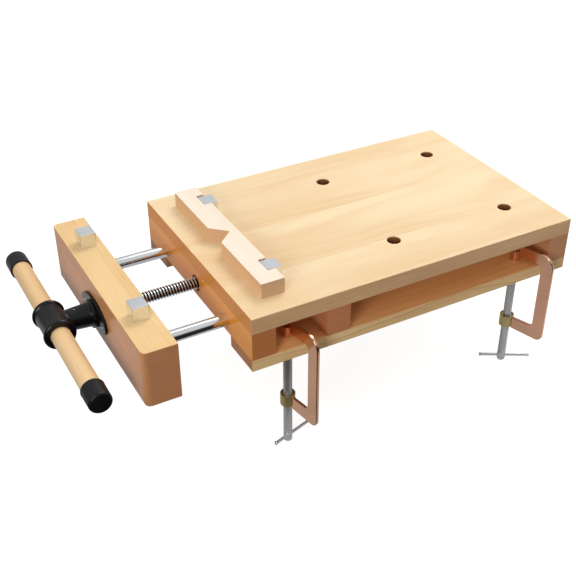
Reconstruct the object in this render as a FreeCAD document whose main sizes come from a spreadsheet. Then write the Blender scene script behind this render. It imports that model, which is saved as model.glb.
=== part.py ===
"""Bench-top woodworking station: a small worktop with a screw vise at one end, bench dogs, a V stop bar
and two G-clamps that hold it to a table.

Frame: +X runs from the vise end to the rear end, +Y from the near side to the far side, +Z up.
The origin is the middle of the worktop's footprint, on the plane of the table it stands on.
All lengths are in millimetres.
"""
import FreeCAD, Part
import os
from types import SimpleNamespace

import Sketcher

os.makedirs("parts", exist_ok=True)
doc = FreeCAD.newDocument("BenchStation")

# ---------------------------------------------------------------------------------------------
# Driving dimensions: one sheet row each (name, value, meaning)
# ---------------------------------------------------------------------------------------------
SIZES = [
    ("top_length", 600.0, "worktop along X"),
    ("top_width", 400.0, "worktop along Y"),
    ("top_thickness", 27.0, "worktop slab"),
    ("rail_width", 73.0, "bottom rail along Y"),
    ("rail_thickness", 21.0, "bottom rail"),
    ("block_height", 48.0, "spacer blocks between rails and slab"),
    ("front_block_depth", 40.0, "front block, which is also the fixed jaw, along X"),
    ("middle_block_start", 128.0, "vise end to the middle block"),
    ("middle_block_depth", 41.0, "middle block along X"),
    ("rear_block_depth", 40.0, "rear block along X"),
    ("edge_radius", 1.5, "eased outer edges of the timber"),
    ("frame_screw_diameter", 5.0, "long wood screws up through rail and block"),
    ("frame_screw_head", 10.0, "their countersunk head"),
    ("frame_screw_length", 82.0, "their length under the head's top"),
    ("frame_screw_inset", 18.0, "outer screw row in from the worktop's sides"),
    ("frame_screw_pitch", 36.0, "outer to inner screw row"),
    ("dog_hole_diameter", 22.0, "bench dog holes"),
    ("dog_row", 114.0, "dog rows to each side of the centre line"),
    ("dog_first_column", 77.0, "vise end to the first pair of dog holes"),
    ("dog_last_column", 73.0, "last pair of dog holes to the rear end"),
    ("hole_chamfer", 1.0, "chamfer at the mouth of a dog hole"),
    ("dog_head", 26.0, "square dog head"),
    ("dog_height", 26.0, "dog head above the worktop"),
    ("dog_bevel", 1.8, "bevel around the top of a dog's head"),
    ("dog_shank_length", 24.0, "round shank below the dog's head"),
    ("dog_edge_radius", 1.0, "eased edges of the dogs and the stop bar"),
    ("fit_clearance", 0.08, "radial clearance of running fits"),
    ("stop_depth", 40.0, "stop bar along X"),
    ("stop_length", 320.0, "stop bar along Y"),
    ("vee_width", 50.0, "mouth of the V notch"),
    ("vee_depth", 26.5, "depth of the V notch"),
    ("stop_notch_width", 33.0, "notch around a dog"),
    ("stop_notch_gap", 0.5, "gap between a dog's face and the notch floor"),
    ("jaw_thickness", 55.0, "moving jaw along X"),
    ("jaw_opening", 113.0, "gap between the jaws"),
    ("jaw_dog_inset", 30.0, "jaw's outer face to its dog holes"),
    ("jaw_corner_radius", 9.0, "rounded outer corners of the moving jaw"),
    ("rod_diameter", 20.0, "guide rods"),
    ("rod_height", 43.0, "guide rod and screw axes above the table"),
    ("rod_grip", 40.0, "guide rod let into the moving jaw"),
    ("rod_reach", 40.0, "guide rod beyond the middle block"),
    ("rod_chamfer", 1.5, "chamfer at the rod ends"),
    ("rod_pin_diameter", 6.0, "cross pins that hold the rods in the jaw"),
    ("screw_diameter", 20.0, "vise screw over its thread"),
    ("screw_hole_diameter", 29.0, "clearance hole for the screw in the blocks"),
    ("journal_diameter", 16.0, "plain end of the vise screw"),
    ("screw_reach", 40.0, "vise screw beyond the nut"),
    ("nut_flange", 46.0, "side of the nut's square flange"),
    ("nut_flange_thickness", 6.0, "nut flange"),
    ("nut_boss_length", 22.0, "nut boss inside the front block"),
    ("nut_screw_offset", 17.0, "nut screws from the nut's axis, each way"),
    ("nut_screw_diameter", 5.0, "nut screws"),
    ("nut_screw_head", 9.5, "head of a nut screw"),
    ("nut_screw_length", 30.0, "nut screws under the head's top"),
    ("plate_length", 104.0, "oval flange plate along Y"),
    ("plate_width", 52.0, "oval flange plate along Z"),
    ("plate_thickness", 5.0, "oval flange plate"),
    ("plate_screw_offset", 37.0, "plate screws from the vise screw's axis"),
    ("plate_screw_diameter", 5.5, "plate screws"),
    ("plate_screw_head", 10.5, "countersunk head of a plate screw"),
    ("plate_screw_length", 38.0, "plate screws under the head's top"),
    ("jaw_passage_diameter", 23.0, "passage for the screw through the jaw"),
    ("recess_diameter", 36.0, "recess behind the flange plate"),
    ("recess_depth", 14.0, "recess behind the flange plate"),
    ("ring_diameter", 30.0, "retaining ring on the screw's journal"),
    ("ring_length", 10.0, "retaining ring"),
    ("journal_socket", 20.0, "handle axis to the end of the screw in the hub"),
    ("hub_distance", 67.0, "jaw's outer face to the handle's axis"),
    ("hub_length", 66.0, "hub barrel along the handle"),
    ("hub_rim_diameter", 51.0, "hub barrel at its ends"),
    ("hub_waist_diameter", 45.0, "hub barrel at its waist"),
    ("stem_diameter", 34.0, "hub stem at the barrel"),
    ("stem_root_diameter", 39.0, "hub stem at the collar"),
    ("collar_diameter", 46.0, "hub collar against the plate"),
    ("collar_thickness", 6.0, "hub collar"),
    ("hub_pin_diameter", 5.0, "pin through stem and screw"),
    ("handle_length", 420.0, "handle over its caps"),
    ("handle_diameter", 31.0, "handle bar"),
    ("cap_diameter", 36.6, "end cap of the handle"),
    ("cap_length", 37.0, "end cap of the handle"),
    ("cap_wall", 6.0, "closed end of a cap"),
    ("cap_radius", 4.0, "rounded outer edge of a cap"),
    ("clamp_reach", 50.7, "clamp screw axis to the inside of the spine"),
    ("clamp_depth", 21.5, "depth of the clamp's flat bar"),
    ("clamp_thickness", 5.5, "thickness of the clamp's flat bar"),
    ("clamp_arm_gap", 7.5, "top arm above the rail, spanned by its foot"),
    ("clamp_foot_diameter", 19.0, "round foot of the top arm"),
    ("clamp_lower_arm", 96.5, "top of the lower arm below the rail"),
    ("clamp_outer_radius", 24.0, "outer bend at the top"),
    ("clamp_heel_radius", 12.0, "outer bend at the bottom"),
    ("clamp_inner_radius", 7.0, "inside bends"),
    ("clamp_edge_radius", 1.2, "eased edges of the clamp's bar"),
    ("boss_diameter", 24.5, "boss of the lower arm"),
    ("boss_length", 22.0, "boss of the lower arm"),
    ("boss_rise", 1.5, "boss above the lower arm"),
    ("boss_rim", 1.6, "raised rim around the boss's sunk top"),
    ("boss_sink", 2.0, "depth of the boss's sunk top"),
    ("clamp_heel_drop", 3.5, "fall of the lower arm's underside to the heel"),
    ("clamp_screw_diameter", 14.5, "clamp screw"),
    ("clamp_screw_bottom", 195.0, "lower end of the clamp screw below the rail"),
    ("pad_diameter", 22.0, "swivel pad"),
    ("pad_height", 12.0, "swivel pad"),
    ("ball_diameter", 9.0, "button end of the clamp screw"),
    ("ball_height", 4.0, "button end of the clamp screw, and the pad under it"),
    ("pad_brim", 7.0, "straight brim of the swivel pad, above its cone"),
    ("tommy_drop", 186.0, "tommy bar below the rail"),
    ("tommy_diameter", 5.0, "tommy bar"),
    ("tommy_length", 90.0, "tommy bar"),
    ("tommy_end_diameter", 6.6, "upset ends of the tommy bar"),
    ("tommy_end_length", 2.0, "upset ends of the tommy bar, and their taper"),
    ("turned_chamfer", 1.0, "chamfer of turned and cast ends"),
    ("screw_chamfer", 2.0, "chamfer of the screws' ends"),
    ("hole_spare", 2.0, "dog hole deeper than the dog's shank"),
    ("ring_gap", 0.2, "end play of the retaining ring"),
    ("front_clamp_station", 77.8, "vise end to the front clamp's screw"),
    ("front_clamp_inset", 34.2, "near side to the front clamp's screw"),
    ("front_clamp_turn", 11.4, "turn of the front clamp, degrees"),
    ("front_tommy_turn", 17.0, "turn of its tommy bar, degrees"),
    ("front_tommy_shift", 16.0, "its tommy bar slid to one side"),
    ("rear_clamp_station", 77.7, "rear clamp's screw to the rear end"),
    ("rear_clamp_inset", 36.7, "near side to the rear clamp's screw"),
    ("rear_clamp_turn", 20.0, "turn of the rear clamp, degrees"),
    ("rear_tommy_turn", -30.0, "turn of its tommy bar, degrees"),
    ("rear_tommy_shift", 5.0, "its tommy bar slid to one side"),
]

sheet = doc.addObject("Spreadsheet::Sheet", "Sizes")
for row, (alias, number, meaning) in enumerate(SIZES, start=1):
    sheet.set(f"A{row}", alias)
    sheet.set(f"B{row}", str(number))
    sheet.set(f"C{row}", meaning)
    sheet.setAlias(f"B{row}", alias)
doc.recompute()


class Size:
    """A length as its number and as the formula, in the sheet's names, that it comes from."""

    def __init__(self, value, formula):
        self.value = value
        self.formula = formula

    def __add__(self, other):
        other = as_size(other)
        return Size(self.value + other.value, f"({self.formula} + {other.formula})")

    def __sub__(self, other):
        other = as_size(other)
        return Size(self.value - other.value, f"({self.formula} - {other.formula})")

    def __mul__(self, other):
        other = as_size(other)
        return Size(self.value * other.value, f"({self.formula} * {other.formula})")

    def __truediv__(self, other):
        other = as_size(other)
        return Size(self.value / other.value, f"({self.formula} / {other.formula})")

    def __neg__(self):
        return Size(-self.value, f"(0 - {self.formula})")


def as_size(number):
    """A plain number as a Size."""
    return number if isinstance(number, Size) else Size(float(number), str(number))


S = SimpleNamespace(**{alias: Size(float(sheet.get(alias)), f"Sizes.{alias}") for alias, _, _ in SIZES})
ZERO = as_size(0)

# Places worked out from the driving dimensions
front_x = -S.top_length / 2
near_y = -S.top_width / 2
slab_z = S.rail_thickness + S.block_height
top_z = slab_z + S.top_thickness
front_block_back_x = front_x + S.front_block_depth
middle_block_x = front_x + S.middle_block_start
middle_block_back_x = middle_block_x + S.middle_block_depth
rear_block_x = -front_x - S.rear_block_depth
jaw_x = front_x - S.jaw_opening - S.jaw_thickness
hub_x = jaw_x - S.hub_distance
dog_pitch = (S.top_length - S.dog_first_column - S.dog_last_column) / 2
dog_columns = [front_x + S.dog_first_column + dog_pitch * step for step in range(3)]
dog_rows = {"near": -S.dog_row, "far": S.dog_row}
running_hole = S.fit_clearance * 2
pin_top = S.rod_height + S.rod_diameter * 0.75

# ---------------------------------------------------------------------------------------------
# Helpers
# ---------------------------------------------------------------------------------------------
NODES = []


def bind(thing, prop, size):
    """Tie one property to a size's formula."""
    thing.setExpression(prop, as_size(size).formula)


def new_body(label, x=ZERO, y=ZERO, z=ZERO, turn=None):
    """An empty body, placed at x, y, z and turned about +Z."""
    body = doc.addObject("PartDesign::Body", label)
    body.Label = label
    place(body, x, y, z, turn)
    NODES.append(body)
    return body


def place(thing, x, y, z, turn=None):
    """Bind a sub-part's placement."""
    if turn is not None:
        turn = as_size(turn)
        thing.Placement = FreeCAD.Placement(FreeCAD.Vector(), FreeCAD.Rotation(FreeCAD.Vector(0, 0, 1), 1.0))
        bind(thing, "Placement.Rotation.Angle", turn)
    for axis, size in zip("xyz", (x, y, z)):
        bind(thing, f"Placement.Base.{axis}", size)


def new_sketch(body, role, name, offset=ZERO):
    """A sketch on one of the body's own origin planes, moved along the plane's normal by offset."""
    sketch = body.newObject("Sketcher::SketchObject", name)
    plane = next(item for item in body.Origin.OriginFeatures if item.Role == role)
    sketch.AttachmentSupport = (plane, [""])
    sketch.MapMode = "FlatFace"
    bind(sketch, "AttachmentOffset.Base.z", offset)
    return sketch


def pin_point(sketch, geometry, point, x, y):
    """Fix one sketch point at x, y from the sketch's origin."""
    for kind, axis, size in (("DistanceX", -2, as_size(x)), ("DistanceY", -1, as_size(y))):
        if abs(size.value) < 1e-9:
            sketch.addConstraint(Sketcher.Constraint("PointOnObject", geometry, point, axis))
            continue
        index = sketch.addConstraint(Sketcher.Constraint(kind, -1, 1, geometry, point, size.value))
        bind(sketch, f"Constraints[{index}]", size)


def outline(sketch, corners):
    """A closed outline of straight sides through the corners."""
    corners = [(as_size(x), as_size(y)) for x, y in corners]
    points = [FreeCAD.Vector(x.value, y.value, 0) for x, y in corners]
    first = sketch.GeometryCount
    for start, end in zip(points, points[1:] + points[:1]):
        sketch.addGeometry(Part.LineSegment(start, end), False)
    count = len(points)
    for step in range(count):
        following = first + (step + 1) % count
        sketch.addConstraint(Sketcher.Constraint("Coincident", first + step, 2, following, 1))
    for step, (x, y) in enumerate(corners):
        pin_point(sketch, first + step, 1, x, y)


def rectangle(sketch, x, y, length, width):
    """A rectangle from its low corner."""
    outline(sketch, [(x, y), (x + length, y), (x + length, y + width), (x, y + width)])


def circle(sketch, x, y, diameter):
    """A circle by its centre and diameter."""
    x, y, diameter = as_size(x), as_size(y), as_size(diameter)
    centre = FreeCAD.Vector(x.value, y.value, 0)
    index = sketch.addGeometry(Part.Circle(centre, FreeCAD.Vector(0, 0, 1), diameter.value / 2), False)
    pin_point(sketch, index, 3, x, y)
    datum = sketch.addConstraint(Sketcher.Constraint("Diameter", index, diameter.value))
    bind(sketch, f"Constraints[{datum}]", diameter)


def pad(body, sketch, length, name="Pad", both_ways=False, backward=False):
    """Material from the sketch along its normal, against it, or half to each side."""
    feature = body.newObject("PartDesign::Pad", name)
    feature.Profile = sketch
    feature.Reversed = backward
    feature.Length = as_size(length).value
    bind(feature, "Length", length)
    feature.Midplane = both_ways
    doc.recompute()
    return feature


def pocket(body, sketch, depth=None, name="Pocket", forward=False, both_ways=False):
    """Cut from the sketch: right through when no depth is given, and never without removing material."""
    before = body.Shape.Volume
    feature = body.newObject("PartDesign::Pocket", name)
    feature.Profile = sketch
    feature.Reversed = forward
    feature.Midplane = both_ways
    if depth is None:
        feature.Type = "ThroughAll"
    else:
        feature.Length = as_size(depth).value
        bind(feature, "Length", depth)
    doc.recompute()
    if not body.Shape.Volume < before - 1e-3:
        raise RuntimeError(f"{body.Label}: {name} removed nothing")
    return feature


def spin(body, sketch, axis, name="Turning"):
    """Turn the sketch once round its own H_Axis or V_Axis, adding material."""
    feature = body.newObject("PartDesign::Revolution", name)
    feature.Profile = sketch
    feature.ReferenceAxis = (sketch, [axis])
    feature.Angle = 360.0
    doc.recompute()
    return feature


def edges(shape, wanted):
    """Names of the shape's edges for which wanted(edge) is true."""
    return [f"Edge{index}" for index, edge in enumerate(shape.Edges, start=1) if wanted(edge)]


def dress(body, kind, wanted, size, name):
    """Fillet or Chamfer the chosen edges of the body as it stands."""
    base = body.Tip
    chosen = edges(base.Shape, wanted)
    if not chosen:
        raise RuntimeError(f"{body.Label}: no edges for {name}")
    feature = body.newObject(f"PartDesign::{kind}", name)
    feature.Base = (base, chosen)
    prop = "Radius" if kind == "Fillet" else "Size"
    setattr(feature, prop, as_size(size).value)
    bind(feature, prop, size)
    doc.recompute()
    return feature


def straight_along(axis, **limits):
    """Test for straight edges along an axis whose middle has the given coordinates."""
    def wanted(edge):
        if edge.Curve.TypeId != "Part::GeomLine":
            return False
        direction = edge.Curve.Direction
        if abs(getattr(direction, axis)) < 0.999:
            return False
        middle = edge.CenterOfMass
        return all(any(abs(getattr(middle, name) - value) < 1e-3 for value in values)
                   for name, values in limits.items())
    return wanted


def any_of(*tests):
    """Test that passes when one of the tests does."""
    return lambda edge: any(test(edge) for test in tests)


def ring(radius, **limits):
    """Test for circular edges of one radius whose centre has the given coordinates."""
    def wanted(edge):
        if edge.Curve.TypeId != "Part::GeomCircle" or abs(edge.Curve.Radius - radius) > 1e-3:
            return False
        centre = edge.Curve.Center
        return all(any(abs(getattr(centre, name) - value) < 1e-3 for value in values)
                   for name, values in limits.items())
    return wanted


def around_face(half):
    """Test for the edges around the two side faces of a bar, half its thickness from its middle."""
    return lambda edge: any(all(abs(vertex.X - side * half) < 1e-3 for vertex in edge.Vertexes)
                            for side in (-1, 1))


def timber(label, x, y, z, length, width, height):
    """A rectangular piece of timber with its low corner at x, y, z."""
    body = new_body(label, x, y, z)
    sketch = new_sketch(body, "XY_Plane", "Outline")
    rectangle(sketch, ZERO, ZERO, length, width)
    pad(body, sketch, height)
    return body


def turned(label, profile, role="XZ_Plane", axis="H_Axis", x=ZERO, y=ZERO, z=ZERO, turn=None):
    """A turned piece: its profile is (along, radius) points for H_Axis, (radius, along) for V_Axis."""
    body = new_body(label, x, y, z, turn)
    sketch = new_sketch(body, role, "Profile")
    outline(sketch, profile)
    spin(body, sketch, axis)
    return body


def fixed_solid(label, shape):
    """A sub-part whose shape is worked out here from the sheet's values."""
    feature = doc.addObject("Part::Feature", label)
    feature.Label = label
    feature.Shape = shape
    NODES.append(feature)


def countersunk_screw(diameter, head, length, point, direction):
    """A screw solid: point is the middle of its head's flat face, direction the way its tip points."""
    head_height = (head - diameter) / 2
    tip = diameter
    profile = [(0, 0), (head / 2, 0), (diameter / 2, head_height), (diameter / 2, length - tip), (0, length)]
    wire = Part.makePolygon([FreeCAD.Vector(radius, 0, along) for radius, along in profile + profile[:1]])
    solid = Part.Face(wire).revolve(FreeCAD.Vector(), FreeCAD.Vector(0, 0, 1), 360)
    slot = Part.makeBox(head, head / 8, head / 6, FreeCAD.Vector(-head / 2, -head / 16, 0))
    cross = slot.fuse(slot.rotated(FreeCAD.Vector(), FreeCAD.Vector(0, 0, 1), 90))
    limit = Part.makeCylinder(head * 0.28, head / 6)
    solid = solid.cut(cross.common(limit))
    solid.Placement = FreeCAD.Placement(point, FreeCAD.Rotation(FreeCAD.Vector(0, 0, 1), direction))
    return solid


def drill(body, role, places, diameter, depth=None, offset=ZERO, name="Drill", forward=False):
    """Round holes of one diameter, all from one plane."""
    sketch = new_sketch(body, role, f"{name}Sketch", offset)
    for x, y in places:
        circle(sketch, x, y, diameter)
    return pocket(body, sketch, depth, name, forward)


# ---------------------------------------------------------------------------------------------
# Worktop frame: slab, three spacer blocks, two rails and their screws
# ---------------------------------------------------------------------------------------------
half_row = S.top_width / 2
screw_rows = [S.frame_screw_inset, S.frame_screw_inset + S.frame_screw_pitch]
screw_rows += [S.top_width - row for row in screw_rows]
block_middles = [S.front_block_depth / 2, S.middle_block_start + S.middle_block_depth / 2,
                 S.top_length - S.rear_block_depth / 2]
slab_grip = S.frame_screw_length - S.rail_thickness - S.block_height
head_drop = (S.frame_screw_head - S.frame_screw_diameter) / 2


def make_slab():
    """The worktop: six chamfered dog holes, and blind holes underneath for the frame screws."""
    body = timber("worktop_slab", front_x, near_y, slab_z, S.top_length, S.top_width, S.top_thickness)
    holes = [(column - front_x, half_row + row) for column in dog_columns for row in dog_rows.values()]
    drill(body, "XY_Plane", holes, S.dog_hole_diameter, name="DogHoles", forward=True)
    screws = [(x, y) for x in block_middles for y in screw_rows]
    drill(body, "XY_Plane", screws, S.frame_screw_diameter, slab_grip, name="ScrewHoles", forward=True)
    length, width = S.top_length.value, S.top_width.value
    dress(body, "Chamfer", ring(S.dog_hole_diameter.value / 2, z=[S.top_thickness.value]),
          S.hole_chamfer, "HoleChamfers")
    dress(body, "Fillet", any_of(straight_along("z", x=[0, length], y=[0, width]),
                                 straight_along("x", z=[S.top_thickness.value]),
                                 straight_along("y", z=[S.top_thickness.value])),
          S.edge_radius, "EasedEdges")


def make_blocks():
    """Front block with its bores, middle block with the same bores, and the plain rear block."""
    bores = [(half_row - S.dog_row, S.rod_height - S.rail_thickness),
             (half_row + S.dog_row, S.rod_height - S.rail_thickness)]
    axis_place = [(half_row, S.rod_height - S.rail_thickness)]
    blocks = [("front_block", front_x, S.front_block_depth, [0]),
              ("middle_block", middle_block_x, S.middle_block_depth, None),
              ("rear_block", rear_block_x, S.rear_block_depth, [S.rear_block_depth.value])]
    for (label, x, depth, outer), middle in zip(blocks, block_middles):
        body = timber(label, x, near_y, S.rail_thickness, depth, S.top_width, S.block_height)
        drill(body, "XY_Plane", [(depth / 2, y) for y in screw_rows], S.frame_screw_diameter,
              name="ScrewHoles", forward=True)
        if label != "rear_block":
            drill(body, "YZ_Plane", bores, S.rod_diameter + running_hole, name="RodBores", forward=True)
            drill(body, "YZ_Plane", axis_place, S.screw_hole_diameter, name="ScrewPassage", forward=True)
        if label == "front_block":
            nut_holes = [(half_row + S.nut_screw_offset * side, axis_place[0][1] + S.nut_screw_offset * level)
                         for side in (-1, 1) for level in (-1, 1)]
            drill(body, "YZ_Plane", nut_holes, S.nut_screw_diameter,
                  S.nut_screw_length - S.nut_flange_thickness, depth, "NutScrewHoles")
        if outer is not None:
            dress(body, "Fillet", straight_along("z", x=outer, y=[0, S.top_width.value]),
                  S.edge_radius, "EasedCorners")


def make_rails():
    """Two full-length rails, countersunk from below for the frame screws."""
    for label, y, rows in (("near_rail", near_y, screw_rows[:2]),
                           ("far_rail", -near_y - S.rail_width,
                            [S.rail_width - row for row in screw_rows[:2]])):
        body = timber(label, front_x, y, ZERO, S.top_length, S.rail_width, S.rail_thickness)
        drill(body, "XY_Plane", [(x, row) for x in block_middles for row in rows],
              S.frame_screw_diameter, name="ScrewHoles", forward=True)
        dress(body, "Chamfer", ring(S.frame_screw_diameter.value / 2, z=[0]), head_drop, "Countersinks")
        outer_y = [0] if label == "near_rail" else [S.rail_width.value]
        dress(body, "Fillet", any_of(straight_along("z", x=[0, S.top_length.value], y=outer_y),
                                     straight_along("x", z=[0]), straight_along("y", z=[0])),
              S.edge_radius, "EasedEdges")


def make_frame_screws():
    """Twelve long countersunk screws up through rail and block into the slab."""
    up = FreeCAD.Vector(0, 0, 1)
    screws = [countersunk_screw(S.frame_screw_diameter.value, S.frame_screw_head.value,
                                S.frame_screw_length.value,
                                FreeCAD.Vector((front_x + x).value, (near_y + y).value, 0), up)
              for x in block_middles for y in screw_rows]
    fixed_solid("frame_screws", Part.makeCompound(screws))


# ---------------------------------------------------------------------------------------------
# Vise: nut, moving jaw, guide rods, flange plate
# ---------------------------------------------------------------------------------------------
def make_nut():
    """Square-flanged nut behind the front block, its boss inside the block's passage."""
    boss = S.screw_hole_diameter - running_hole
    body = new_body("vise_nut", front_block_back_x, ZERO, S.rod_height)
    sketch = new_sketch(body, "YZ_Plane", "Flange")
    rectangle(sketch, -S.nut_flange / 2, -S.nut_flange / 2, S.nut_flange, S.nut_flange)
    pad(body, sketch, S.nut_flange_thickness, "FlangePad")
    sketch = new_sketch(body, "YZ_Plane", "Boss")
    circle(sketch, ZERO, ZERO, boss)
    pad(body, sketch, S.nut_boss_length, "BossPad", backward=True)
    drill(body, "YZ_Plane", [(ZERO, ZERO)], S.screw_diameter + running_hole,
          offset=-S.nut_boss_length, name="ScrewBore", forward=True)
    places = [(S.nut_screw_offset * side, S.nut_screw_offset * level)
              for side in (-1, 1) for level in (-1, 1)]
    drill(body, "YZ_Plane", places, S.nut_screw_diameter, S.nut_flange_thickness,
          S.nut_flange_thickness, "ScrewHoles")
    dress(body, "Chamfer", ring(S.nut_screw_diameter.value / 2, x=[S.nut_flange_thickness.value]),
          (S.nut_screw_head - S.nut_screw_diameter) / 2, "Countersinks")
    dress(body, "Fillet", straight_along("x"), S.edge_radius * 2, "FlangeCorners")
    back = FreeCAD.Vector(-1, 0, 0)
    face_x = (front_block_back_x + S.nut_flange_thickness).value
    screws = [countersunk_screw(S.nut_screw_diameter.value, S.nut_screw_head.value, S.nut_screw_length.value,
                                FreeCAD.Vector(face_x, y.value, (S.rod_height + z).value), back)
              for y, z in places]
    fixed_solid("nut_screws", Part.makeCompound(screws))


def make_moving_jaw():
    """Solid jaw: rod sockets, passage and recess for the vise screw, two dog holes, pin holes."""
    height = top_z
    body = timber("moving_jaw", jaw_x, near_y, ZERO, S.jaw_thickness, S.top_width, height)
    rows = [half_row - S.dog_row, half_row + S.dog_row]
    drill(body, "YZ_Plane", [(row, S.rod_height) for row in rows], S.rod_diameter, S.rod_grip,
          S.jaw_thickness, "RodSockets")
    drill(body, "YZ_Plane", [(half_row, S.rod_height)], S.jaw_passage_diameter, name="ScrewPassage",
          forward=True)
    drill(body, "YZ_Plane", [(half_row, S.rod_height)], S.recess_diameter, S.recess_depth,
          name="Recess", forward=True)
    drill(body, "YZ_Plane", [(half_row + S.plate_screw_offset * side, S.rod_height) for side in (-1, 1)],
          S.plate_screw_diameter, S.plate_screw_length - S.plate_thickness,
          name="PlateScrewHoles", forward=True)
    drill(body, "XY_Plane", [(S.jaw_dog_inset, row) for row in rows], S.dog_hole_diameter,
          S.dog_shank_length + S.hole_spare, height, "DogHoles")
    drill(body, "XY_Plane", [(S.jaw_thickness - S.rod_grip / 2, row) for row in rows],
          S.rod_pin_diameter, pin_top + S.turned_chamfer, name="PinHoles", forward=True)
    dress(body, "Chamfer", ring(S.dog_hole_diameter.value / 2, z=[height.value]),
          S.hole_chamfer, "HoleChamfers")
    dress(body, "Fillet", straight_along("z", x=[0], y=[0, S.top_width.value]),
          S.jaw_corner_radius, "OuterCorners")
    thick = S.jaw_thickness.value
    dress(body, "Fillet", any_of(straight_along("z", x=[thick], y=[0, S.top_width.value]),
                                 straight_along("x", y=[0, S.top_width.value], z=[0, height.value]),
                                 straight_along("y", x=[0, thick], z=[0, height.value])),
          S.edge_radius, "EasedEdges")


def make_guide_rods():
    """Round rods fixed in the jaw, running through the front and middle blocks."""
    start_x = jaw_x + S.jaw_thickness - S.rod_grip
    length = middle_block_back_x + S.rod_reach - start_x
    radius = S.rod_diameter / 2
    for side, row in dog_rows.items():
        body = turned(f"guide_rod_{side}",
                      [(ZERO, ZERO), (ZERO, radius - S.rod_chamfer), (S.rod_chamfer, radius),
                       (length - S.rod_chamfer, radius), (length, radius - S.rod_chamfer), (length, ZERO)],
                      x=start_x, y=row, z=S.rod_height)
        sketch = new_sketch(body, "XY_Plane", "PinHole")
        circle(sketch, S.rod_grip / 2, ZERO, S.rod_pin_diameter)
        pocket(body, sketch, name="PinHoleCut", both_ways=True)


def make_rod_pins():
    """Cross pins driven up from the jaw's underside."""
    pins = []
    for side, row in dog_rows.items():
        pin = doc.addObject("Part::Cylinder", f"rod_pin_{side}")
        bind(pin, "Radius", S.rod_pin_diameter / 2)
        bind(pin, "Height", pin_top - S.turned_chamfer)
        place(pin, jaw_x + S.jaw_thickness - S.rod_grip / 2, row, S.turned_chamfer)
        pins.append(pin)
    group = doc.addObject("Part::Compound", "rod_pins")
    group.Label = "rod_pins"
    group.Links = pins
    NODES.append(group)


def make_flange_plate():
    """Oval plate on the jaw's outer face: journal bore, two countersunk screws."""
    ellipse = doc.addObject("Part::Ellipse", "PlateOutline")
    bind(ellipse, "MajorRadius", S.plate_length / 2)
    bind(ellipse, "MinorRadius", S.plate_width / 2)
    blank = doc.addObject("Part::Extrusion", "PlateBlank")
    blank.Base = ellipse
    blank.DirMode = "Custom"
    blank.Dir = FreeCAD.Vector(0, 0, 1)
    blank.Solid = True
    bind(blank, "LengthFwd", S.plate_thickness)
    bore = doc.addObject("Part::Cylinder", "PlateBore")
    bind(bore, "Radius", S.journal_diameter / 2 + S.fit_clearance)
    bind(bore, "Height", S.plate_thickness)
    cutters = [bore]
    for side in (-1, 1):
        hole = doc.addObject("Part::Cylinder", "PlateHole")
        bind(hole, "Radius", S.plate_screw_diameter / 2)
        bind(hole, "Height", S.plate_thickness)
        place(hole, S.plate_screw_offset * side, ZERO, ZERO)
        seat = doc.addObject("Part::Cone", "PlateSeat")
        bind(seat, "Radius1", S.plate_screw_head / 2)
        bind(seat, "Radius2", S.plate_screw_diameter / 2)
        bind(seat, "Height", (S.plate_screw_head - S.plate_screw_diameter) / 2)
        place(seat, S.plate_screw_offset * side, ZERO, ZERO)
        cutters += [hole, seat]
    tools = doc.addObject("Part::MultiFuse", "PlateCutters")
    tools.Shapes = cutters
    plate = doc.addObject("Part::Cut", "flange_plate")
    plate.Label = "flange_plate"
    plate.Base = blank
    plate.Tool = tools
    plate.Placement = FreeCAD.Placement(FreeCAD.Vector(), FreeCAD.Rotation(FreeCAD.Vector(1, 1, 1), 120))
    for axis, size in zip("xyz", (jaw_x - S.plate_thickness, ZERO, S.rod_height)):
        bind(plate, f"Placement.Base.{axis}", size)
    NODES.append(plate)
    inward = FreeCAD.Vector(1, 0, 0)
    face_x = (jaw_x - S.plate_thickness).value
    screws = [countersunk_screw(S.plate_screw_diameter.value, S.plate_screw_head.value,
                                S.plate_screw_length.value,
                                FreeCAD.Vector(face_x, S.plate_screw_offset.value * side, S.rod_height.value),
                                inward) for side in (-1, 1)]
    fixed_solid("flange_screws", Part.makeCompound(screws))


# ---------------------------------------------------------------------------------------------
# Vise screw, hub and sliding handle
# ---------------------------------------------------------------------------------------------
def make_vise_screw():
    """Screw with a plain journal at the handle end; its thread is a plain cylinder over the crests."""
    start_x = hub_x + S.journal_socket
    journal = jaw_x + S.recess_depth + S.ring_gap - start_x
    length = front_block_back_x + S.nut_flange_thickness + S.screw_reach - start_x
    thread_radius = S.screw_diameter / 2
    body = turned("vise_screw",
                  [(ZERO, ZERO), (ZERO, S.journal_diameter / 2), (journal, S.journal_diameter / 2),
                   (journal + S.screw_chamfer, thread_radius), (length - S.screw_chamfer, thread_radius),
                   (length, thread_radius - S.screw_chamfer), (length, ZERO)],
                  x=start_x, z=S.rod_height)
    sketch = new_sketch(body, "XY_Plane", "PinHole")
    circle(sketch, hub_x + S.hub_distance / 2 - start_x, ZERO, S.hub_pin_diameter)
    pocket(body, sketch, name="PinHoleCut", both_ways=True)


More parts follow.
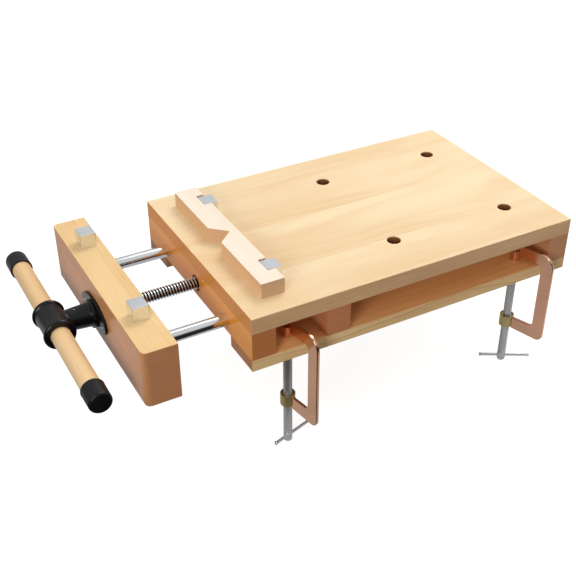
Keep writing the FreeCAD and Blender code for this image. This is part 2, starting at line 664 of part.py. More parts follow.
def make_hub():
    """Cast T-shaped hub: a waisted barrel around the handle, a stem and a collar on the screw."""
    half = S.hub_length / 2
    rim, waist = S.hub_rim_diameter / 2, S.hub_waist_diameter / 2
    rim_width, bevel = S.hub_length / 10, S.turned_chamfer
    body = new_body("handle_hub", hub_x, -half, S.rod_height)
    sketch = new_sketch(body, "YZ_Plane", "BarrelProfile")
    outline(sketch, [(ZERO, ZERO), (ZERO, rim - bevel), (bevel, rim), (rim_width, rim),
                     (rim_width * 2, waist), (S.hub_length - rim_width * 2, waist),
                     (S.hub_length - rim_width, rim), (S.hub_length - bevel, rim),
                     (S.hub_length, rim - bevel), (S.hub_length, ZERO)])
    spin(body, sketch, "H_Axis", "Barrel")
    stem, collar = S.stem_diameter / 2, S.collar_diameter / 2
    reach = S.hub_distance - S.plate_thickness
    sketch = new_sketch(body, "XZ_Plane", "StemProfile", -half)
    outline(sketch, [(ZERO, ZERO), (ZERO, stem), (reach - S.collar_thickness * 1.5, S.stem_root_diameter / 2),
                     (reach - S.collar_thickness, collar - bevel), (reach - bevel, collar),
                     (reach, collar - bevel), (reach, ZERO)])
    spin(body, sketch, "H_Axis", "Stem")
    sketch = new_sketch(body, "XZ_Plane", "HandleBore")
    circle(sketch, ZERO, ZERO, S.handle_diameter + running_hole)
    pocket(body, sketch, name="HandleBoreCut")
    drill(body, "YZ_Plane", [(half, ZERO)], S.journal_diameter, reach - S.journal_socket,
          reach, "ScrewSocket")
    sketch = new_sketch(body, "XY_Plane", "PinHole")
    circle(sketch, S.hub_distance / 2, half, S.hub_pin_diameter)
    pocket(body, sketch, name="PinHoleCut", both_ways=True)
    pin = doc.addObject("Part::Cylinder", "hub_pin")
    pin.Label = "hub_pin"
    bind(pin, "Radius", S.hub_pin_diameter / 2)
    bind(pin, "Height", S.stem_diameter - S.turned_chamfer)
    place(pin, hub_x + S.hub_distance / 2, ZERO,
          S.rod_height - (S.stem_diameter - S.turned_chamfer) / 2)
    NODES.append(pin)


def make_retaining_ring():
    """Ring fixed on the journal behind the plate, so the screw also pulls the jaw open."""
    inner, outer, bevel = S.journal_diameter / 2, S.ring_diameter / 2, S.turned_chamfer
    turned("retaining_ring",
           [(ZERO, inner), (ZERO, outer - bevel), (bevel, outer), (S.ring_length - bevel, outer),
            (S.ring_length, outer - bevel), (S.ring_length, inner)],
           x=jaw_x + S.ring_gap, z=S.rod_height)


def make_handle():
    """Round wooden bar with a deep cup-shaped cap on each end."""
    inner, outer = S.handle_diameter / 2, S.cap_diameter / 2
    bar_length = S.handle_length - S.cap_wall * 2
    bevel = S.turned_chamfer
    turned("handle_bar", [(ZERO, ZERO), (ZERO, inner - bevel), (bevel, inner), (bar_length - bevel, inner),
                          (bar_length, inner - bevel), (bar_length, ZERO)],
           role="YZ_Plane", x=hub_x, y=-S.handle_length / 2 + S.cap_wall, z=S.rod_height)
    caps = {"near": (-S.handle_length / 2, ZERO, S.cap_length),
            "far": (S.handle_length / 2 - S.cap_length, S.cap_length, ZERO)}
    for side, (y, closed, opened) in caps.items():
        floor = S.cap_wall if side == "near" else S.cap_length - S.cap_wall
        body = turned(f"handle_cap_{side}", [(closed, ZERO), (closed, outer), (opened, outer),
                                             (opened, inner), (floor, inner), (floor, ZERO)],
                      role="YZ_Plane", x=hub_x, y=y, z=S.rod_height)
        dress(body, "Fillet", ring(outer.value, y=[closed.value]), S.cap_radius, "RoundedEnd")


# ---------------------------------------------------------------------------------------------
# Bench dogs and stop bar
# ---------------------------------------------------------------------------------------------
def make_dog(name, x, y):
    """Metal dog: a square head with a bevelled top on a round shank."""
    half = S.dog_head / 2
    body = new_body(f"dog_{name}", x, y, top_z)
    sketch = new_sketch(body, "XY_Plane", "Head")
    rectangle(sketch, -half, -half, S.dog_head, S.dog_head)
    pad(body, sketch, S.dog_height, "HeadPad")
    top = S.dog_height.value
    dress(body, "Chamfer", any_of(straight_along("x", z=[top]), straight_along("y", z=[top])),
          S.dog_bevel, "HeadBevel")
    dress(body, "Fillet", straight_along("z"), S.dog_edge_radius, "HeadEdges")
    sketch = new_sketch(body, "XY_Plane", "Shank")
    circle(sketch, ZERO, ZERO, S.dog_hole_diameter - running_hole)
    pad(body, sketch, S.dog_shank_length, "ShankPad", backward=True)
    dress(body, "Chamfer", ring((S.dog_hole_diameter / 2 - S.fit_clearance).value,
                                z=[-S.dog_shank_length.value]), S.hole_chamfer, "ShankChamfer")


def make_stop_bar():
    """Bar with a V notch towards the jaw and a notch for each dog behind it."""
    middle = S.stop_length / 2
    floor = S.stop_depth - S.dog_head / 2 - S.stop_notch_gap
    half_notch = S.stop_notch_width / 2
    corners = [(ZERO, ZERO), (S.stop_depth, ZERO)]
    for row in dog_rows.values():
        low, high = middle + row - half_notch, middle + row + half_notch
        corners += [(S.stop_depth, low), (floor, low), (floor, high), (S.stop_depth, high)]
    corners += [(S.stop_depth, S.stop_length), (ZERO, S.stop_length),
                (ZERO, middle + S.vee_width / 2), (S.vee_depth, middle), (ZERO, middle - S.vee_width / 2)]
    body = new_body("v_stop_bar", dog_columns[0] - S.stop_depth, -middle, top_z)
    sketch = new_sketch(body, "XY_Plane", "Outline")
    outline(sketch, corners)
    pad(body, sketch, S.dog_height)
    depth, length = S.stop_depth.value, S.stop_length.value
    dress(body, "Fillet", straight_along("z", x=[0, depth], y=[0, length]), S.dog_edge_radius, "EndCorners")


# ---------------------------------------------------------------------------------------------
# G-clamps
# ---------------------------------------------------------------------------------------------
def make_clamp(name, x, inset, turn, tommy_turn, tommy_shift):
    """One clamp: frame, threaded bush, swivel pad, screw and tommy bar, tightened on the near rail."""
    y = near_y + inset
    arm_low = S.rail_thickness + S.clamp_arm_gap
    arm_high = arm_low + S.clamp_depth
    outer = S.clamp_reach + S.clamp_depth
    lower_top = -S.clamp_lower_arm
    lower_bottom = lower_top - S.clamp_depth
    tip = S.clamp_foot_diameter / 2
    heel_bottom = lower_bottom - S.clamp_heel_drop
    boss_top = lower_top + S.boss_rise
    boss_bottom = boss_top - S.boss_length

    body = new_body(f"clamp_frame_{name}", x, y, ZERO, turn)
    sketch = new_sketch(body, "YZ_Plane", "Outline")
    outline(sketch, [(tip, arm_low), (-S.clamp_reach, arm_low), (-S.clamp_reach, lower_top),
                     (ZERO, lower_top), (ZERO, lower_bottom), (-outer, heel_bottom),
                     (-outer, arm_high), (tip, arm_high)])
    pad(body, sketch, S.clamp_thickness, "Bar", both_ways=True)
    reach, far = -S.clamp_reach.value, -outer.value
    dress(body, "Fillet", straight_along("x", y=[far], z=[arm_high.value]), S.clamp_outer_radius, "TopBend")
    dress(body, "Fillet", straight_along("x", y=[far], z=[heel_bottom.value]),
          S.clamp_heel_radius, "HeelBend")
    dress(body, "Fillet", straight_along("x", y=[reach], z=[arm_low.value, lower_top.value]),
          S.clamp_inner_radius, "InsideBends")
    dress(body, "Fillet", around_face(S.clamp_thickness.value / 2), S.clamp_edge_radius, "EasedEdges")
    sketch = new_sketch(body, "XY_Plane", "Foot", S.rail_thickness)
    circle(sketch, ZERO, ZERO, S.clamp_foot_diameter)
    pad(body, sketch, S.clamp_arm_gap + S.clamp_depth / 2, "FootPad")
    sketch = new_sketch(body, "XY_Plane", "BushSeat", boss_bottom - S.boss_length / 2)
    circle(sketch, ZERO, ZERO, S.boss_diameter)
    pocket(body, sketch, S.boss_length * 2, "BushSeatCut", forward=True)

    bore = S.clamp_screw_diameter / 2 + S.fit_clearance
    rim, bevel = S.boss_diameter / 2, S.turned_chamfer
    sunk = boss_top - S.boss_sink
    turned(f"clamp_bush_{name}",
           [(bore, boss_bottom), (rim - bevel, boss_bottom), (rim, boss_bottom + bevel), (rim, boss_top),
            (rim - S.boss_rim, boss_top), (rim - S.boss_rim, sunk), (bore, sunk)],
           axis="V_Axis", x=x, y=y, turn=turn)

    pad_radius, neck, head = S.pad_diameter / 2, S.ball_diameter / 3, S.ball_diameter / 2
    gap = S.fit_clearance * 2
    floor = -S.pad_height
    button, crown = floor + S.ball_height, floor + S.ball_height * 2
    turned(f"clamp_pad_{name}",
           [(neck + gap, floor), (pad_radius * 0.7, floor), (pad_radius, -S.pad_brim), (pad_radius, ZERO),
            (ZERO, ZERO), (ZERO, crown + gap), (head + gap, crown + gap),
            (head + gap, button - gap), (neck + gap, button - gap)],
           axis="V_Axis", x=x, y=y, turn=turn)

    shaft = S.clamp_screw_diameter / 2
    bottom = -S.clamp_screw_bottom
    shoulder = floor - gap * 2
    taper = S.screw_chamfer
    body = turned(f"clamp_screw_{name}",
                  [(ZERO, bottom), (shaft - taper, bottom), (shaft, bottom + taper),
                   (shaft, shoulder - taper), (shaft - taper, shoulder), (neck, shoulder),
                   (neck, button), (head, button), (head, crown), (ZERO, crown)],
                  axis="V_Axis", x=x, y=y, turn=tommy_turn)
    sketch = new_sketch(body, "YZ_Plane", "TommyHole")
    circle(sketch, ZERO, -S.tommy_drop, S.tommy_diameter + running_hole)
    pocket(body, sketch, name="TommyHoleCut", both_ways=True)

    start = tommy_shift - S.tommy_length / 2
    radius, upset = S.tommy_diameter / 2, S.tommy_end_diameter / 2
    body = new_body(f"clamp_tommy_{name}", x, y, -S.tommy_drop, tommy_turn)
    sketch = new_sketch(body, "XZ_Plane", "Profile")
    end = start + S.tommy_length
    knob, bevel = S.tommy_end_length, (upset - radius) * 0.75
    outline(sketch, [(start, ZERO), (start, upset - bevel), (start + bevel, upset), (start + knob, upset),
                     (start + knob * 2, radius), (end - knob * 2, radius), (end - knob, upset),
                     (end - bevel, upset), (end, upset - bevel), (end, ZERO)])
    spin(body, sketch, "H_Axis")


# ---------------------------------------------------------------------------------------------
# Build, check and write
# ---------------------------------------------------------------------------------------------
make_slab()
make_blocks()
make_rails()
make_frame_screws()
make_nut()
make_moving_jaw()
make_guide_rods()
make_rod_pins()
make_flange_plate()
make_vise_screw()
make_hub()
make_retaining_ring()
make_handle()
for side, row in dog_rows.items():
    make_dog(f"jaw_{side}", jaw_x + S.jaw_dog_inset, row)
    make_dog(f"stop_{side}", dog_columns[0], row)
make_stop_bar()
make_clamp("front", front_x + S.front_clamp_station, S.front_clamp_inset, S.front_clamp_turn,
           S.front_tommy_turn, S.front_tommy_shift)
make_clamp("rear", S.top_length / 2 - S.rear_clamp_station, S.rear_clamp_inset, S.rear_clamp_turn,
           S.rear_tommy_turn, S.rear_tommy_shift)

doc.recompute()
for thing in doc.Objects:
    if {"Invalid", "Error"} & set(thing.State):
        raise RuntimeError(f"{thing.Label} failed: {thing.State}")
for node in NODES:
    if node.Shape.isNull() or not node.Shape.isValid():
        raise RuntimeError(f"{node.Label} has no valid shape")
for node in NODES:
    node.Shape.exportStep(f"parts/{node.Label}.step")
    box = node.Shape.BoundBox
    print(f"{node.Label}: {len(node.Shape.Solids)} solid(s), {node.Shape.Volume / 1000:.1f} cm3, "
          f"x {box.XMin:.1f}..{box.XMax:.1f} y {box.YMin:.1f}..{box.YMax:.1f} "
          f"z {box.ZMin:.1f}..{box.ZMax:.1f}")
print(len(NODES), "parts written")
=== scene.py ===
# %% [markdown]
# # A bench-top woodworking station, finished in Blender
# The object is a small beech worktop on three cross blocks and two bottom rails. A vise jaw slides
# on two chromed rods, a V-notched stop bar stands against two metal dogs, and two G-clamps hold the
# near rail to whatever table it stands on. The engineering model gives every place and size. This
# script adds what that model leaves plain: screw threads, cast and moulded shapes, and finishes.

import math

import bmesh
import bpy
import numpy as np
from mathutils import Matrix, Vector


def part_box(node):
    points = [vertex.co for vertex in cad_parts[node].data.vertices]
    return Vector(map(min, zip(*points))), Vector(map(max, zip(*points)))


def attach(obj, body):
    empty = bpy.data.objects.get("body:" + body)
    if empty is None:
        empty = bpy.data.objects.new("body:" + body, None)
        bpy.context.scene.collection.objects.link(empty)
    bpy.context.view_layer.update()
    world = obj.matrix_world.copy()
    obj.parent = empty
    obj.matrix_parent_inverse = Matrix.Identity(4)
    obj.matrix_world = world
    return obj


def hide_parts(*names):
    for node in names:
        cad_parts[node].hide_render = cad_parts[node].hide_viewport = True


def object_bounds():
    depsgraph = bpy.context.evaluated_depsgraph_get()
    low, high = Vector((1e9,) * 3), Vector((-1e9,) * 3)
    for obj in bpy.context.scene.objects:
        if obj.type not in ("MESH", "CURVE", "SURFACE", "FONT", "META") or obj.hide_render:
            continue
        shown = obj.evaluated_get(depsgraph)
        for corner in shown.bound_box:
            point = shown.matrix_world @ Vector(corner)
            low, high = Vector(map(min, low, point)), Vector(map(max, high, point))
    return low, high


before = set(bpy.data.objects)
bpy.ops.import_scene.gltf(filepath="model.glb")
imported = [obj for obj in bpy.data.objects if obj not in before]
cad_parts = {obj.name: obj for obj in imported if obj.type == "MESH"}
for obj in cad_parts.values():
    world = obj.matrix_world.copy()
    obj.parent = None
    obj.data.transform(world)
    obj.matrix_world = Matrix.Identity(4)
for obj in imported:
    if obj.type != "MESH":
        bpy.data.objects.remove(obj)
CAD_LOW, CAD_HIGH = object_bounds()
MM = 0.001
print("box", [round(v, 3) for v in CAD_LOW], [round(v, 3) for v in CAD_HIGH])

# %% [markdown]
# ## Camera
# The station is seen from a little above, over the vise end, through a longish lens, so that the
# worktop's sides stay nearly parallel. A camera could be tracked to a target object, but turning
# it by azimuth, elevation and a hair of roll keeps the view exact.

# %% Camera
CAMERA_PLACE = Vector((-0.8042, -1.2419, 0.9343))
AZIMUTH, ELEVATION, ROLL = -28.45, 34.09, -0.19
LENS, SENSOR = 62.19, 36.0


def aim(azimuth, elevation, roll):
    """Turn about Z by the azimuth, tip down by the elevation, then roll about the line of sight."""
    turn = Matrix.Rotation(math.radians(azimuth), 4, "Z")
    tip = Matrix.Rotation(math.radians(90 - elevation), 4, "X")
    return turn @ tip @ Matrix.Rotation(math.radians(roll), 4, "Z")


lens = bpy.data.cameras.new("camera")
lens.lens, lens.sensor_width, lens.clip_end = LENS, SENSOR, 200
camera = bpy.data.objects.new("camera", lens)
bpy.context.scene.collection.objects.link(camera)
camera.matrix_world = Matrix.Translation(CAMERA_PLACE) @ aim(AZIMUTH, ELEVATION, ROLL)
bpy.context.scene.camera = camera
print("camera looks along", [round(v, 3) for v in camera.matrix_world.col[2].xyz])

# %% [markdown]
# ## Floor, sky and lights
# Polished steel shows whatever stands around it, so a plain white world would make it look like
# paint. A studio solves this with big white cards and dark gaps between them. The floor here is
# one such card. A soft lamp above and behind lights the tops, and a second one, beyond the vise
# end on the near side, lights the upright faces.

# %% Floor, sky and lamps
FLOOR_DROP = 1 * MM
FLOOR_SIZE = 60.0
LAMPS = {  # place, aim point, width, watts
    "overhead": ((0.9, 0.5, 2.0), (0, 0, 0), 1.2, 22),
    "side_fill": ((-2.3, -1.9, 1.1), (0, 0, 0), 0.9, 36),
}


def link(made):
    bpy.context.scene.collection.objects.link(made)
    return made


def lay_floor(height):
    """A flat square, far wider than the view, at one height."""
    half = FLOOR_SIZE / 2
    corners = [(-half, -half, height), (half, -half, height), (half, half, height), (-half, half, height)]
    mesh = bpy.data.meshes.new("floor")
    mesh.from_pydata(corners, [], [(0, 1, 2, 3)])
    made = link(bpy.data.objects.new("floor", mesh))
    return made


def hang_lamp(name, place, target, width, watts):
    """A square soft lamp at a place, turned towards its target."""
    lamp = bpy.data.lights.new(name, "AREA")
    lamp.shape, lamp.size, lamp.energy = "SQUARE", width, watts
    made = link(bpy.data.objects.new(name, lamp))
    towards = Vector(target) - Vector(place)
    made.matrix_world = Matrix.Translation(place) @ towards.to_track_quat("-Z", "Y").to_matrix().to_4x4()
    return made


floor = lay_floor(CAD_LOW.z - FLOOR_DROP)
for name, (place, target, width, watts) in LAMPS.items():
    hang_lamp(name, place, target, width, watts)
print("floor at", round(floor.data.vertices[0].co.z, 4))

# %% [markdown]
# ## A short way to wire shaders
# Node trees can be wired by hand with `nodes.new` and `links.new`, but the calls soon hide the
# idea. This small class adds a node, sets or links its inputs by name and hands back the node.

# %% Node helper
class Wiring:
    """Adds shader nodes to a tree. An input given as a socket is linked, anything else is set."""

    def __init__(self, tree):
        self.tree = tree

    def add(self, kind, inputs=None, **settings):
        made = self.tree.nodes.new("ShaderNode" + kind)
        for name, value in settings.items():
            setattr(made, name, value)
        for name, value in (inputs or {}).items():
            self.feed(made.inputs[name], value)
        return made

    def feed(self, socket, value):
        if isinstance(value, bpy.types.NodeSocket):
            self.tree.links.new(value, socket)
        else:
            socket.default_value = value

    def math(self, operation, *values, clamp=False):
        made = self.add("Math", operation=operation, use_clamp=clamp)
        for socket, value in zip(made.inputs, values):
            self.feed(socket, value)
        return made.outputs[0]

    def vector(self, operation, *values):
        made = self.add("VectorMath", operation=operation)
        for socket, value in zip(made.inputs, values):
            self.feed(socket, value)
        return made.outputs["Value" if operation in ("DOT_PRODUCT", "LENGTH") else "Vector"]

    def mix(self, amount, first, second):
        made = self.add("Mix", data_type="RGBA", blend_type="MIX")
        for socket, value in zip((made.inputs[0], made.inputs[6], made.inputs[7]), (amount, first, second)):
            self.feed(socket, value)
        return made.outputs[2]

    def between(self, value, low, high, start=0.0, end=1.0, smooth=True):
        kind = "SMOOTHSTEP" if smooth else "LINEAR"
        made = self.add("MapRange", {"Value": value, "From Min": low, "From Max": high,
                                     "To Min": start, "To Max": end}, interpolation_type=kind)
        return made.outputs[0]

    def noise(self, position, scale, detail=2.0, rough=0.5):
        made = self.add("TexNoise", {"Vector": position, "Scale": scale, "Detail": detail,
                                     "Roughness": rough})
        return made.outputs["Fac"]


def colour(red, green, blue):
    """A display colour, 0 to 255 each, as the linear colour that the shaders expect."""
    shown = np.array([red, green, blue]) / 255
    linear = np.where(shown <= 0.04045, shown / 12.92, ((shown + 0.055) / 1.055) ** 2.4)
    return (*linear.tolist(), 1.0)


def new_group(name, inputs, outputs):
    """An empty shader group with named sockets: its tree, the input node and the output node."""
    tree = bpy.data.node_groups.new(name, "ShaderNodeTree")
    for label, kind, default in inputs:
        socket = tree.interface.new_socket(label, in_out="INPUT", socket_type="NodeSocket" + kind)
        if default is not None:
            socket.default_value = default
    for label in outputs:
        tree.interface.new_socket(label, in_out="OUTPUT", socket_type="NodeSocketFloat")
    wiring = Wiring(tree)
    return wiring, wiring.tree.nodes.new("NodeGroupInput").outputs, tree.nodes.new("NodeGroupOutput").inputs


# %% [markdown]
# The dark gaps could be black boards set round the floor, but those would show in other views. So
# they are painted on the world and the floor, and a Light Path node keeps them from the eye. The
# eye gets a plain white backdrop and a glowing floor. Mirrors get a dark band at the horizon, an
# unlit end of the room and a floor card that ends on that side.

# %% Paint the sky and the floor
# (height from 0 straight down to 1 straight up, brightness)
SKY_STOPS = [(0.0, 0.30), (0.49, 0.25), (0.50, 0.03), (0.53, 0.05), (0.58, 0.85), (1.0, 1.0)]
SKY_STRENGTH = 0.70
ROOM_END = (-0.54, -0.84, 0.0)  # the unlit end of the room, opposite the white backdrop
ROOM_DARK = 0.86
ROOM_TOP = (0.26, 0.52)  # heights between which the unlit end fades into the dome
ROOM_SIDES = (0.05, 0.4)  # how squarely a direction faces the unlit end, from lit to dark
BACKDROP = 1.5  # what the eye sees past the floor: plain white


def paint_sky():
    """For mirrors and shading, a pale dome over an unlit wall; for the eye, a plain white backdrop."""
    world = bpy.data.worlds.new("studio")
    bpy.context.scene.world = world
    world.use_nodes = True
    wiring = Wiring(world.node_tree)
    direction = wiring.add("TexCoord").outputs["Generated"]
    height = wiring.add("SeparateXYZ", {"Vector": direction}).outputs["Z"]
    ramp = wiring.add("ValToRGB", {"Fac": wiring.between(height, -1, 1, smooth=False)})
    stops = ramp.color_ramp.elements
    while len(stops) < len(SKY_STOPS):
        stops.new(0.5)
    for stop, (place, white) in zip(stops, SKY_STOPS):
        stop.position, stop.color = place, (white, white, white, 1)
    near_end = wiring.between(wiring.vector("DOT_PRODUCT", direction, ROOM_END), *ROOM_SIDES)
    wall = wiring.math("MULTIPLY", near_end, wiring.between(height, *ROOM_TOP, 1.0, 0.0))
    sky = world.node_tree.nodes["Background"]
    unlit = wiring.math("MULTIPLY", wall, ROOM_DARK)
    seen = wiring.add("LightPath").outputs["Is Camera Ray"]
    room = wiring.mix(unlit, ramp.outputs["Color"], (0, 0, 0, 1))
    wiring.feed(sky.inputs["Color"], wiring.mix(seen, room, (BACKDROP, BACKDROP, BACKDROP, 1)))
    sky.inputs["Strength"].default_value = SKY_STRENGTH


FLOOR_GREY, FLOOR_GAP = 0.35, 0.02  # the card, and the gap past its edge
FLOOR_GLOW, FLOOR_GLEAM = (1.1, 0.85), 0.30  # for the eye, past the card and on it; for mirrors
CARD_EDGE = (0.30, 0.42)  # how far the card reaches towards the unlit end of the room


def floor_material():
    """Grey card that glows for the eye and in mirrors, so it looks white but throws little light up.

    Past the card's edge the floor is dark and glows for the eye alone.
    """
    made = bpy.data.materials.new("pale_floor")
    made.use_nodes = True
    wiring = Wiring(made.node_tree)
    shader = made.node_tree.nodes["Principled BSDF"].inputs
    card, gap = (FLOOR_GREY,) * 3 + (1,), (FLOOR_GAP,) * 3 + (1,)
    shader["Roughness"].default_value = 0.9
    shader["Specular IOR Level"].default_value = 0.0
    reach = wiring.vector("DOT_PRODUCT", wiring.add("TexCoord").outputs["Object"], ROOM_END)
    on_card = wiring.between(reach, *CARD_EDGE, 1.0, 0.0)
    path = wiring.add("LightPath").outputs
    mirrored = wiring.math("MULTIPLY", wiring.math("MULTIPLY", path["Is Glossy Ray"], on_card), FLOOR_GLEAM)
    wiring.feed(shader["Base Color"], wiring.mix(on_card, gap, card))
    shader["Emission Color"].default_value = (1, 1, 1, 1)
    glow = wiring.between(on_card, 0.0, 1.0, *FLOOR_GLOW)
    wiring.feed(shader["Emission Strength"],
                wiring.math("MULTIPLY_ADD", path["Is Camera Ray"], glow, mirrored))
    return made


paint_sky()
floor.data.materials.append(floor_material())
bpy.context.scene.view_settings.view_transform = "Standard"
print("sky stops", len(SKY_STOPS))

# %% [markdown]
# ## Effects that several finishes share
# Wood is a solid thing: the same growth rings that run as lines along a board come out as arcs on
# its end. So the figure is worked out from the position inside the board, not painted on its
# faces. A scanned picture could give more detail on one face, but would never turn the corner.

# %% Wood figure
# How often each noise repeats in a metre: along the grain, across it and through it.
SLOW_BENDS, FIBRES = (1.6, 7.0, 7.0), (22.0, 750.0, 750.0)
DASHES, CLOUDS = (260.0, 1500.0, 1500.0), (2.2, 9.0, 9.0)
SEASONS = [(0.0, 0.1), (0.55, 0.3), (0.88, 1.0), (1.0, 0.1)]  # (share of a ring, how late the wood)


def build_wood_figure():
    """Rings are the distance from a pith line below each stave, bent by slow noise, in steps."""
    wiring, given, result = new_group(
        "wood_figure",
        [("Position", "Vector", None), ("Ring Spacing", "Float", 0.003), ("Stave Width", "Float", 0.1),
         ("Pith Depth", "Float", 0.08)],
        ["Ring", "Fibre", "Fleck", "Stave", "Cloud"])
    split = wiring.add("SeparateXYZ", {"Vector": given["Position"]}).outputs
    count = wiring.math("DIVIDE", split["Y"], given["Stave Width"])
    stave = wiring.math("ROUND", count)
    across = wiring.math("MULTIPLY", wiring.math("SUBTRACT", count, stave), given["Stave Width"])
    chance = wiring.add("TexWhiteNoise", {"W": stave}, noise_dimensions="1D").outputs
    own = wiring.add("SeparateColor", {"Color": chance["Color"]}).outputs
    along = wiring.math("MULTIPLY_ADD", own["Red"], 9.0, split["X"])
    shifted = wiring.add("CombineXYZ", {"X": along, "Y": split["Y"], "Z": split["Z"]}).outputs[0]
    slow = wiring.noise(wiring.vector("MULTIPLY", shifted, SLOW_BENDS), 1.0, 2.0)
    offset = wiring.math("MULTIPLY_ADD", own["Green"], 0.06, wiring.math("ADD", across, -0.03))
    depth = wiring.math("ADD", split["Z"], given["Pith Depth"])
    from_pith = wiring.vector("LENGTH", wiring.add("CombineXYZ", {"Y": offset, "Z": depth}).outputs[0])
    bent = wiring.math("MULTIPLY_ADD", slow, 0.05, from_pith)
    turns = wiring.math("DIVIDE", bent, given["Ring Spacing"])
    year = wiring.math("FLOOR", turns)
    season = wiring.math("SUBTRACT", turns, year)
    ramp = wiring.add("ValToRGB", {"Fac": season})
    stops = ramp.color_ramp.elements
    while len(stops) < len(SEASONS):
        stops.new(0.5)
    for stop, (place, white) in zip(stops, SEASONS):
        stop.position, stop.color = place, (white, white, white, 1)
    strong = wiring.add("TexWhiteNoise", {"W": year}, noise_dimensions="1D").outputs["Value"]
    ring = wiring.math("MULTIPLY", ramp.outputs["Color"], wiring.math("MULTIPLY_ADD", strong, 0.8, 0.2))
    fibre = wiring.noise(wiring.vector("MULTIPLY", shifted, FIBRES), 1.0, 3.0, 0.6)
    dash = wiring.noise(wiring.vector("MULTIPLY", shifted, DASHES), 1.0, 1.0)
    cloud = wiring.noise(wiring.vector("MULTIPLY", shifted, CLOUDS), 1.0, 3.0, 0.55)
    for label, value in {"Ring": ring, "Fibre": fibre, "Fleck": wiring.between(dash, 0.63, 0.72),
                         "Stave": own["Blue"], "Cloud": cloud}.items():
        wiring.feed(result[label], value)
    return wiring.tree


WOOD_FIGURE = build_wood_figure()
print("group", WOOD_FIGURE.name, "sockets", len(WOOD_FIGURE.interface.items_tree))

# %% [markdown]
# End grain drinks in oil and goes darker than the faces, and the arrises of any handled thing
# are a little different from its faces. Both are questions about which way the surface looks.
# The first compares the face's own direction with the grain. The second asks how far the normal
# turns within a millimetre or two, which the Bevel node measures without needing extra geometry.
# The same two masks also carry painted light: faces that look up get lit colours of their own,
# and edges get painted highlights and painted shade as well as wear.

# %% Masks for end grain and edges
def build_end_mask():
    """How squarely a face looks along the grain: the dot of its normal with the grain's axis."""
    wiring, given, result = new_group("end_mask", [("Grain Axis", "Vector", (1, 0, 0))], ["End"])
    normal = wiring.add("TexCoord").outputs["Normal"]
    facing = wiring.math("ABSOLUTE", wiring.vector("DOT_PRODUCT", normal, given["Grain Axis"]))
    wiring.feed(result["End"], wiring.between(facing, 0.55, 0.9))
    return wiring.tree


def build_edge_mask():
    """How much a rounded copy of the normal differs from the true one, near an edge."""
    wiring, given, result = new_group("edge_mask", [("Width", "Float", 0.002), ("Breakup", "Float", 0.4)],
                                      ["Edge"])
    rounded = wiring.add("Bevel", {"Radius": given["Width"]}, samples=4).outputs[0]
    true = wiring.add("NewGeometry").outputs["Normal"]
    alike = wiring.vector("DOT_PRODUCT", rounded, true)
    turn = wiring.between(wiring.math("SUBTRACT", 1.0, alike), 0.01, 0.16)
    patch = wiring.noise(wiring.add("TexCoord").outputs["Object"], 90.0, 3.0, 0.6)
    kept = wiring.math("SUBTRACT", 1.0, wiring.math("MULTIPLY", given["Breakup"],
                                                    wiring.between(patch, 0.4, 0.65)))
    wiring.feed(result["Edge"], wiring.math("MULTIPLY", turn, kept))
    return wiring.tree


END_MASK = build_end_mask()
EDGE_MASK = build_edge_mask()
print("groups", END_MASK.name, EDGE_MASK.name)

# %% [markdown]
# Machined and plated metal is never even. A drawn rod has fine lines round it, plating dries in
# faint clouds, and a casting has a skin like orange peel. One group makes the lines and another
# the clouds and the grit, each at a size given by the finish that uses it.

# %% Masks for tool marks and skins
def build_tool_marks():
    """Noise squeezed hard along one axis, which leaves fine lines across it."""
    wiring, given, result = new_group("tool_marks", [("Squeeze", "Vector", (1, 1, 1)),
                                                     ("Contrast", "Float", 0.2)], ["Lines"])
    position = wiring.add("TexCoord").outputs["Object"]
    lines = wiring.noise(wiring.vector("MULTIPLY", position, given["Squeeze"]), 1.0, 4.0, 0.65)
    low = wiring.math("SUBTRACT", 0.5, given["Contrast"])
    high = wiring.math("ADD", 0.5, given["Contrast"])
    wiring.feed(result["Lines"], wiring.between(lines, low, high))
    return wiring.tree


def build_skin():
    """Slow clouds for plating and finger marks, and fine grit for cast or moulded skin."""
    wiring, given, result = new_group("skin", [("Cloud Size", "Float", 0.02), ("Grit Size", "Float", 0.001)],
                                      ["Cloud", "Grit"])
    position = wiring.add("TexCoord").outputs["Object"]
    for label, detail in (("Cloud", 4.0), ("Grit", 2.0)):
        scale = wiring.math("DIVIDE", 1.0, given[f"{label} Size"])
        wiring.feed(result[label], wiring.between(wiring.noise(position, scale, detail, 0.6), 0.3, 0.7))
    return wiring.tree


def build_thread_depth():
    """Nought at a thread's root, one at its crest: the distance from the screw's own axis."""
    wiring, given, result = new_group(
        "thread_depth", [("Centre", "Vector", (0, 0, 0)), ("Across", "Vector", (0, 1, 1)),
                         ("Root", "Float", 0.005), ("Crest", "Float", 0.007)], ["Depth"])
    away = wiring.vector("SUBTRACT", wiring.add("TexCoord").outputs["Object"], given["Centre"])
    distance = wiring.vector("LENGTH", wiring.vector("MULTIPLY", away, given["Across"]))
    wiring.feed(result["Depth"], wiring.between(distance, given["Root"], given["Crest"]))
    return wiring.tree


TOOL_MARKS = build_tool_marks()
SKIN = build_skin()
THREAD_DEPTH = build_thread_depth()
print("groups", TOOL_MARKS.name, SKIN.name, THREAD_DEPTH.name)

# %% [markdown]
# ## Timber
# Every board is beech, but no two match: the worktop is pale and oiled, the fixed jaw is orange,
# the other blocks show their brown ends, the rails are tan and the stop bar is almost white.
# One function makes them all from a grain direction and a few colours. Each board's colours come
# in two copies, for faces that look up and for upright faces: painted light and shade.

# %% Timber finish
GRAIN_AXES = {"X": ((1, 0, 0), (0, 0, 0)), "Y": ((0, 1, 0), (0, 0, -math.pi / 2))}  # axis, turn


def place_group(wiring, tree, inputs):
    """Put a shader group in a material's tree, feed its inputs and hand back its outputs."""
    made = wiring.tree.nodes.new("ShaderNodeGroup")
    made.node_tree = tree
    for name, value in inputs.items():
        wiring.feed(made.inputs[name], value)
    return made.outputs


